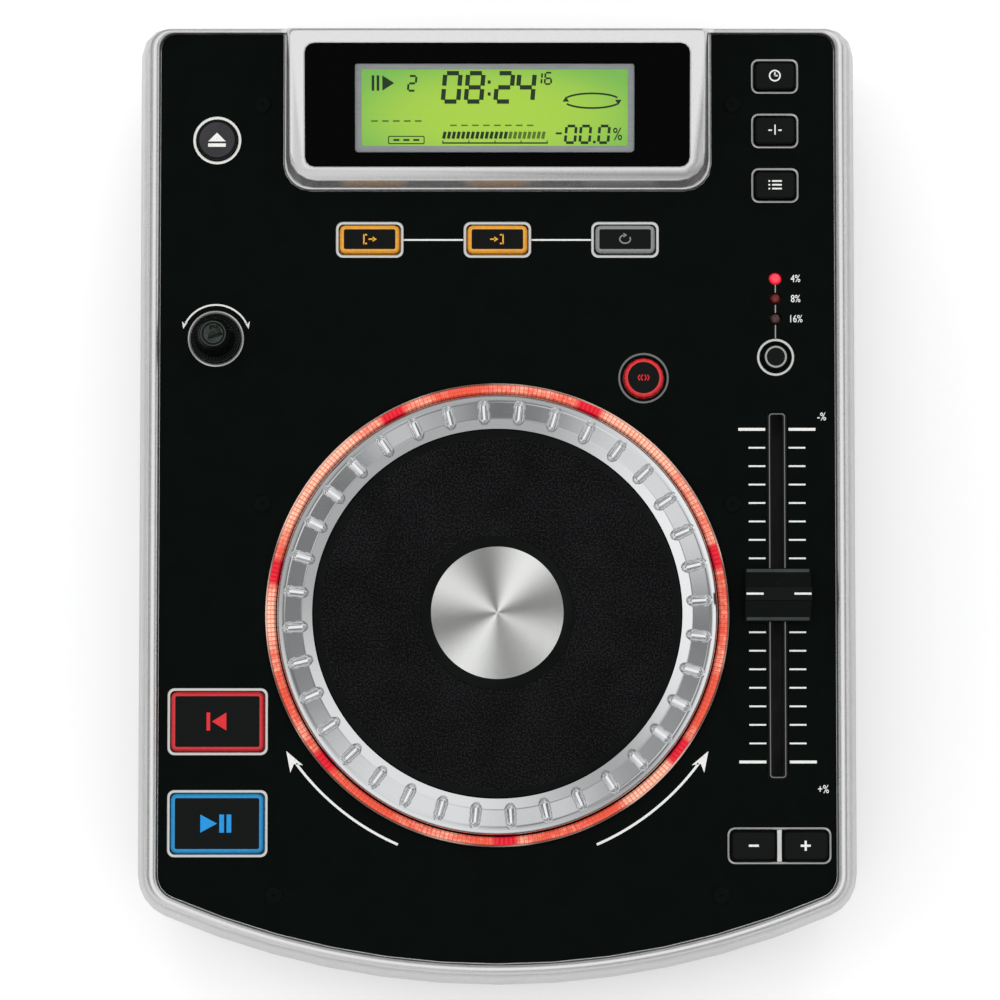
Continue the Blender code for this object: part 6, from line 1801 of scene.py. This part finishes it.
@dataclass
class Display(Assembly):
    """The display in the hood, drawn in the hood's sloping face.

    Attributes:
        middle: The face's middle.
        slope: Its slope in degrees.
        glass: Width and height of the lit glass.
        centre: Its middle.
        glass_rise: Height of the glass, from the hood's face.
        ink_rise: Height of the figures on it.
        lean: How far the figures lean over.
        figures: Each row of figures, its lower left corner, a figure's size, and the step to the next.
        lit_bars: How many bars of the graph are lit.
        all_bars: How many it has.
        bar_start: X of the first one's foot.
        bar_step: From the one to the next.
        dark: The ink of what is lit.
        ghost: The ink of what isn't driven.
    """

    LOOKS = {
        SmokedWindow("smoked_window", (0.001, 0.001, 0.0012), 0.05): ("display_window",),
        SheetMetal("display_frame", (0.33, 0.35, 0.36), 0.36, metallic=0.5): ("lcd_module",),
    }

    middle: Point = (0.0, 152.9, 89.45)
    slope: float = 9.673
    glass: Pair = (80.2, 23.0)
    centre: Pair = (-0.8, -0.9)
    glass_rise: float = -1.95
    ink_rise: float = -1.9
    lean: float = 0.09
    figures: tuple[tuple[str, Pair, Pair, float], ...] = (
        ("2", (-26.9, 4.2), (2.2, 4.4), 3.2),
        ("08", (-16.4, 0.95), (4.6, 8.5), 6.9),
        ("24", (-0.6, 0.95), (4.6, 8.5), 6.5),
        ("16", (11.3, 6.2), (1.9, 3.4), 2.9),
        ("00", (20.4, -11.4), (2.9, 5.0), 4.4),
        ("0", (30.4, -11.4), (2.9, 5.0), 4.4),
    )
    lit_bars: int = 14
    all_bars: int = 22
    bar_start: float = -16.2
    bar_step: float = 1.42
    dark: Finish = Ink("segment_dark", (0.008, 0.03, 0.008), 0.4)
    ghost: Finish = Ink("segment_ghost", (0.09, 0.17, 0.02), 0.4)

    def tilt(self) -> Matrix:
        """The move from the hood's face to the model."""
        return Matrix.Translation(Vector(self.middle)) @ Matrix.Rotation(math.radians(self.slope), 4, "X")

    def build(self) -> list[Piece]:
        """Makes the glass and the figures on it, lit and unlit."""
        outline = rounded(*self.glass, 0.6, self.centre)
        glass = Form().prism(outline, self.glass_rise - 0.05, self.glass_rise)
        screen = ScreenGlow("screen_glass", (0.37, 0.62, 0.035), 0.16)
        dark = self._times().with_form(self._icons()).with_form(self._bars())
        return [
            glass.placed(self.tilt()).piece("screen_glass", "player", screen, slot="lcd_green"),
            dark.placed(self.tilt()).piece("screen_figures", "player", self.dark, slot="lcd_green"),
            self._ghosts().placed(self.tilt()).piece("screen_unlit", "player", self.ghost, slot="lcd_green"),
        ]

    def _bar(self, form: Form, points: Pairs, width: float) -> None:
        """A dark line on the glass."""
        form.stroke(points, width, self.glass_rise - INK_ROOT, self.ink_rise)

    def _digit(self, form: Form, text: str, corner: Pair, size: Pair) -> None:
        """A seven-segment figure.

        Args:
            form: The form that takes it in.
            text: Which figure.
            corner: Its lower left corner.
            size: Its width and height.
        """
        (x, y), (w, h) = corner, size
        bar, gap = 0.29 * w, 0.02 * w
        ends = {
            "a": ((0, h), (w, h)),
            "b": ((w, h / 2), (w, h)),
            "c": ((w, 0), (w, h / 2)),
            "d": ((0, 0), (w, 0)),
            "e": ((0, 0), (0, h / 2)),
            "f": ((0, h / 2), (0, h)),
            "g": ((0, h / 2), (w, h / 2)),
        }
        for name in SEGMENTS[text]:
            start, end = (Vector(p) for p in ends[name])
            along = (end - start).normalized() * (gap + bar * 0.3)
            points = [start + along, end - along]
            self._bar(form, [(x + p.x + self.lean * p.y, y + p.y) for p in points], bar)

    def _times(self) -> Form:
        """The track, the time and the pitch."""
        form = Form()
        for number, corner, size, step in self.figures:
            for i, figure in enumerate(number):
                self._digit(form, figure, (corner[0] + i * step, corner[1]), size)
        for row in (3.2, 6.8):
            self._bar(form, [(-2.9, row), (-2.0, row)], 1.0)
        self._bar(form, [(28.8, -11.2), (29.6, -11.2)], 0.8)
        self._bar(form, [(17.6, -8.6), (19.4, -8.6)], 0.6)
        form.lettered("%", 3.9, (36.2, -9.0), self.glass_rise - INK_ROOT, self.ink_rise)
        return form

    def _icons(self) -> Form:
        """The play and pause sign, the loop ring and the framed dashes."""
        form = Form()
        low, high = self.glass_rise - INK_ROOT, self.ink_rise
        form.prism([(-34.6, 4.2), (-31.0, 6.5), (-34.6, 8.8)], low, high)
        for x in (-37.4, -35.9):
            self._bar(form, [(x, 4.2), (x, 8.8)], 0.8)
        for start, end in ((25.0, 155.0), (205.0, 335.0)):
            path = [(28.5 + 8.4 * x, 1.2 + 2.2 * y) for x, y in arc((0.0, 0.0), 1.0, start, end, 16)]
            self._bar(form, path, 0.55)
        form.prism([(19.6, 0.9), (21.6, 0.9), (20.6, 2.5)], low, high)
        form.prism([(35.4, 1.5), (37.4, 1.5), (36.4, -0.1)], low, high)
        middle = (-27.4, -10.6)
        form.frame(rounded(11.0, 2.5, 0.5, middle), rounded(10.4, 1.9, 0.3, middle), low, high)
        for x in (-30.4, -27.4, -24.4):
            self._bar(form, [(x - 0.9, middle[1]), (x + 0.9, middle[1])], 0.6)
        return form

    def _bars(self) -> Form:
        """The elapsed part of the bar graph and its scale."""
        form = Form()
        for i in range(self.lit_bars):
            self._graph_bar(form, i)
        self._bar(form, [(-16.6, -11.5), (15.2, -11.5)], 0.45)
        for i in range(5):
            place = -16.4 + i * 7.85
            self._bar(form, [(place, -11.3), (place, -10.7)], 0.3)
        return form

    def _graph_bar(self, form: Form, index: int) -> None:
        """One slanted bar of the graph."""
        x = self.bar_start + index * self.bar_step
        self._bar(form, [(x, -10.2), (x + 0.5, -8.1)], 0.95)

    def _ghosts(self) -> Form:
        """The figures that are faint because nothing drives them."""
        form = Form()
        for i in range(self.lit_bars, self.all_bars):
            self._graph_bar(form, i)
        for count, start, row, width in ((5, -38.0, -4.9, 0.5), (8, -14.2, -6.2, 0.45)):
            for i in range(count):
                self._bar(form, [(start + i * 3.3, row), (start + 2.0 + i * 3.3, row)], width)
        return form


@dataclass
class RearBay(Assembly):
    """The connectors in the back.

    Attributes:
        face: How far back the panel's face is.
        level: Height of the sockets' middles.
        jacks: X of the two audio sockets.
        insert: Radii of the coloured ring in a socket and how far they stand out of the panel.
        screws: X and height of the panel's screws.
        screw: A screw's radii and how far they stand out.
        frame: Width and height of the printed frame round the sockets.
    """

    LOOKS = {
        Finishes.COATED: ("rear_panel",),
        Finishes.MATT_BLACK: ("mains_inlet",),
        Finishes.TIN: ("audio_sockets",),
        Finishes.CAP_BLACK: ("power_rocker",),
    }

    face: float = 168.3
    level: float = 46.5
    jacks: Pair = (55.0, 69.0)
    insert: Pairs = ((5.6, -0.2), (5.6, 0.5), (5.2, 0.8), (4.35, 0.8), (4.35, -0.2))
    screws: Pairs = (
        (-84.0, 53.0), (-10.0, 53.0), (30.0, 53.0), (84.0, 53.0), (-84.0, 40.0), (84.0, 40.0)
    )
    screw: Pairs = ((2.4, -0.2), (2.4, 0.5), (2.0, 1.0), (1.0, 1.2))
    frame: Pair = (27.0, 13.6)

    def facing(self) -> Matrix:
        """The move that stands a flat form up on the panel's face."""
        upright = Matrix(((1, 0, 0, 0), (0, 0, 1, 0), (0, 1, 0, 0), (0, 0, 0, 1)))
        return Matrix.Translation(Vector((0.0, self.face, 0.0))) @ upright

    def build(self) -> list[Piece]:
        """Makes the coloured rings, the screws and the frame round the sockets."""
        colours = ((0.75, 0.75, 0.72), (0.55, 0.02, 0.02))
        pieces = []
        for side, x, colour in zip(("left", "right"), self.jacks, colours):
            insert = Moulding(f"socket_insert_{side}", colour, 0.4)
            ring = Form().turned(self.insert, (x, self.level), 32)
            pieces.append(ring.placed(self.facing()).piece(f"socket_ring_{side}", "player", insert))
        pieces.append(self._screws().placed(self.facing()).piece("rear_screws", "player", Finishes.SCREW))
        pieces.append(self._signs().placed(self.facing()).piece("rear_signs", "player", Finishes.WHITE_INK))
        return pieces

    def _screws(self) -> Form:
        """Pan-head screws along the panel."""
        form = Form()
        for place in self.screws:
            form.capped(self.screw, place, 20)
            form.recess(place, 1.2, 20.0, 1.05, 1.24)
        return form

    def _signs(self) -> Form:
        """A frame round the sockets."""
        line = 0.3
        centre = (sum(self.jacks) / 2, self.level)
        inside = [size - 2 * line for size in self.frame]
        return Form().frame(rounded(*self.frame, 1.5, centre), rounded(*inside, 1.3, centre), -0.05, 0.04)


class DiscDrive(Assembly):
    """The slot-loading drive and the bezel of its slot."""

    LOOKS = {
        Finishes.RUBBER: ("feed_roller",),
        Finishes.STEEL: ("drive_chassis", "traverse_deck", "disc_guide_plate"),
        Finishes.TIN: ("guide_rod", "lead_screw", "spindle_motor"),
        Finishes.MATT_BLACK: (
            "slot_bezel", "roller_cradle", "disc_clamp", "turntable_hub", "optical_pickup"
        ),
    }


class Electronics(Assembly):
    """The boards inside the housing."""

    LOOKS = {Finishes.BOARD: ("control_board", "main_board", "power_supply")}


@dataclass(frozen=True)
class SoftPanel:
    """A large soft lamp.

    Attributes:
        name: The lamp's name.
        place: Where it hangs, in metres.
        size: Its width and height in metres.
        power: Its power in watts.
    """

    name: str
    place: Point
    size: Pair
    power: float

    def hang(self, aim: Point) -> None:
        """Puts the lamp up so that it looks at this point, in metres."""
        light = bpy.data.lights.new(self.name, "AREA")
        light.shape, light.energy = "RECTANGLE", self.power
        light.size, light.size_y = self.size
        lamp = bpy.data.objects.new(self.name, light)
        lamp.location = self.place
        lamp.visible_glossy = False
        lamp.rotation_euler = (Vector(aim) - Vector(self.place)).to_track_quat("-Z", "Y").to_euler()
        bpy.context.scene.collection.objects.link(lamp)


@dataclass
class Studio:
    """The floor, the light and the camera.

    Attributes:
        tilt: How far the camera leans to the front, in degrees.
        distance: From the camera to what it looks at, in metres.
        aim: What it looks at, in metres.
        lens: Its focal length and the width of its sensor, in millimetres.
        panels: The lamps.
        floor_half: Half the floor's width in metres.
        floor_colour: The floor's colour.
        floor_glow: The light that the camera sees in it, which makes it white.
        level: The world's strength where it lights the object.
        overhead: How high a mirrored direction points where the sky's white top begins and is full.
        top_light: How bright that top is.
        card: Height of the dark line between the soft boxes and the floor, and how far from it the dark
            ends and is full.
        card_depth: How much of the light it takes.
        cross: The direction of the first of four soft boxes high up, in degrees, and how high they begin
            and end.
        cross_light: Their middle brightness, and how far it rises and falls.
        dim: How bright the sky is between the soft boxes beside the object.
        darkest: How bright it is at least.
        side_boxes: Direction and reach of each soft box in degrees, and its light. A dark gap has less than
            no light.
        floor_level: How bright the sky is near the floor.
        floor_boxes: The soft boxes near the floor, the same way.
        floor_fade: How high the boxes near the floor begin and are full.
    """

    tilt: float = 4.2
    distance: float = 1.6
    aim: Point = (0.0008, 0.0004, 0.075)
    lens: Pair = (191.0, 36.0)
    panels: tuple[SoftPanel, ...] = (
        SoftPanel("left_panel", (-1.3, 0.1, 1.0), (0.9, 1.6), 9.0),
        SoftPanel("right_panel", (1.4, 0.2, 1.1), (0.8, 1.4), 6.0),
        SoftPanel("back_panel", (0.0, 1.7, 0.9), (1.8, 0.6), 8.0),
    )
    floor_half: float = 6.0
    floor_colour: Colour = (0.82, 0.82, 0.82)
    floor_glow: Colour = (0.28, 0.28, 0.28)
    level: float = 0.8
    overhead: Pair = (0.88, 0.96)
    top_light: float = 1.2
    card: Point = (0.1, 0.12, 0.048)
    card_depth: float = 0.85
    cross: tuple[float, Pair, Pair] = (60.0, (0.66, 0.72), (0.86, 0.80))
    cross_light: Pair = (0.58, 0.42)
    dim: float = 0.14
    darkest: float = 0.07
    side_boxes: tuple[Point, ...] = (
        (42.0, 38.0, 0.75),
        (110.0, 22.0, 0.6),
        (254.0, 62.0, 0.72),
        (100.0, 15.0, -0.25),
        (275.0, 15.0, -0.25),
    )
    floor_level: float = 0.5
    floor_boxes: tuple[Point, ...] = ((15.0, 65.0, 0.65), (235.0, 70.0, 0.5))
    floor_fade: Pair = (0.62, 0.46)

    def build(self) -> None:
        """Sets up the floor, the world, the lamps, the camera and the view."""
        self._floor()
        self._world()
        for panel in self.panels:
            panel.hang(self.aim)
        self._camera()
        bpy.context.scene.view_settings.view_transform = "Standard"

    def _floor(self) -> None:
        """A pale floor that the camera sees as white, with the object's shadow."""
        half = self.floor_half
        corners = [(-half, -half, 0.0), (half, -half, 0.0), (half, half, 0.0), (-half, half, 0.0)]
        mesh = bpy.data.meshes.new("floor")
        mesh.from_pydata(corners, [], [(0, 1, 2, 3)])
        floor = bpy.data.objects.new("floor", mesh)
        bpy.context.scene.collection.objects.link(floor)
        graph = Graph("pale_floor")
        seen = graph.add("ShaderNodeLightPath", output="Is Camera Ray")
        glow = graph.blend(seen, (0.0, 0.0, 0.0), self.floor_glow)
        material = graph.surface(
            self.floor_colour, 0.9, Specular_IOR_Level=0.1, Emission_Color=glow, Emission_Strength=1.0
        )
        mesh.materials.append(material)

    def _world(self) -> None:
        """An even sky. The camera sees it white, and metal sees soft boxes with darker gaps in it."""
        world = bpy.data.worlds.new("studio")
        bpy.context.scene.world = world
        world.use_nodes = True
        world.node_tree.nodes.clear()
        graph = Graph.of_world(world)
        direction = graph.add("ShaderNodeTexCoord", output="Generated")
        split = graph.add("ShaderNodeSeparateXYZ", inputs={0: direction}).socket.node.outputs
        x, y, z = (Signal(graph, split[i]) for i in range(3))
        turn = graph.maths("ARCTAN2", y, x)
        card_height, *card_fade = self.card
        card = abs(z - card_height).eased(*card_fade)
        around = self._lit(turn, self.dim, self.side_boxes)
        first, fade_in, fade_out = self.cross
        middle, swing = self.cross_light
        cross = middle + graph.maths("COSINE", (turn - math.radians(first)) * 4.0) * swing
        band = z.eased(*fade_in) * z.eased(*fade_out)
        around = around * (1.0 - band) + cross * band
        low = self._lit(turn, self.floor_level, self.floor_boxes)
        below = z.eased(*self.floor_fade)
        high = graph.maths("MAXIMUM", around, self.darkest)
        beside = (high * (1.0 - below) + low * below) * (1.0 - card * self.card_depth)
        overhead = z.eased(*self.overhead)
        mirrored = beside + (self.top_light - beside) * overhead
        seen, glossy = (
            graph.add("ShaderNodeLightPath", output=name) for name in ("Is Camera Ray", "Is Glossy Ray")
        )
        level = mirrored * glossy + (1.0 - glossy) * self.level
        inputs = {"Color": (1.0, 1.0, 1.0, 1.0), "Strength": level * (1.0 - seen) + seen}
        shader = graph.add("ShaderNodeBackground", inputs=inputs)
        graph.add("ShaderNodeOutputWorld", inputs={"Surface": shader})

    def _lit(self, turn: Signal, level: float, boxes: Sequence[Point]) -> Signal:
        """An even level with soft boxes on it.

        Args:
            turn: The direction round the vertical, in radians.
            level: How bright it is between the boxes.
            boxes: Direction, reach and light of each.

        Returns:
            How bright the sky is in each direction.
        """
        light: Number = level
        for middle, reach, power in boxes:
            light = self._lobe(turn, middle, reach) * power + light
        return light

    @staticmethod
    def _lobe(turn: Signal, middle: float, width: float) -> Signal:
        """A soft patch of the sky, 1 in its middle and 0 beyond its width on each side, in degrees."""
        near = turn.graph.maths("COSINE", turn - math.radians(middle))
        return near.eased(math.cos(math.radians(width)), 1.0)

    def _camera(self) -> None:
        """The camera at the photograph's angle."""
        lean = math.radians(self.tilt)
        camera = bpy.data.objects.new("camera", bpy.data.cameras.new("camera"))
        place = Vector(self.aim) + Vector((0.0, -math.sin(lean), math.cos(lean))) * self.distance
        camera.location = place
        camera.rotation_euler = (lean, 0.0, 0.0)
        camera.data.lens, camera.data.sensor_width = self.lens
        bpy.context.scene.collection.objects.link(camera)
        bpy.context.scene.camera = camera


def main() -> None:
    """Builds every sub-assembly, dresses the model and sets up the studio."""
    logging.basicConfig(level=logging.INFO, format="%(message)s")
    kinds = (
        Housing, Faceplate, ButtonBank, Display, JogWheel,
        TrackKnob, PitchFader, RearBay, DiscDrive, Electronics,
    )
    for kind in kinds:
        assembly, label = kind(), kind.__name__
        for piece in assembly.build():
            LOG.info("%s: %s, %d faces", label, piece.name, len(piece.data.polygons))
        assembly.dress()
        LOG.info("%s: dressed", label)
    Studio().build()


if __name__ == "__main__":
    main()
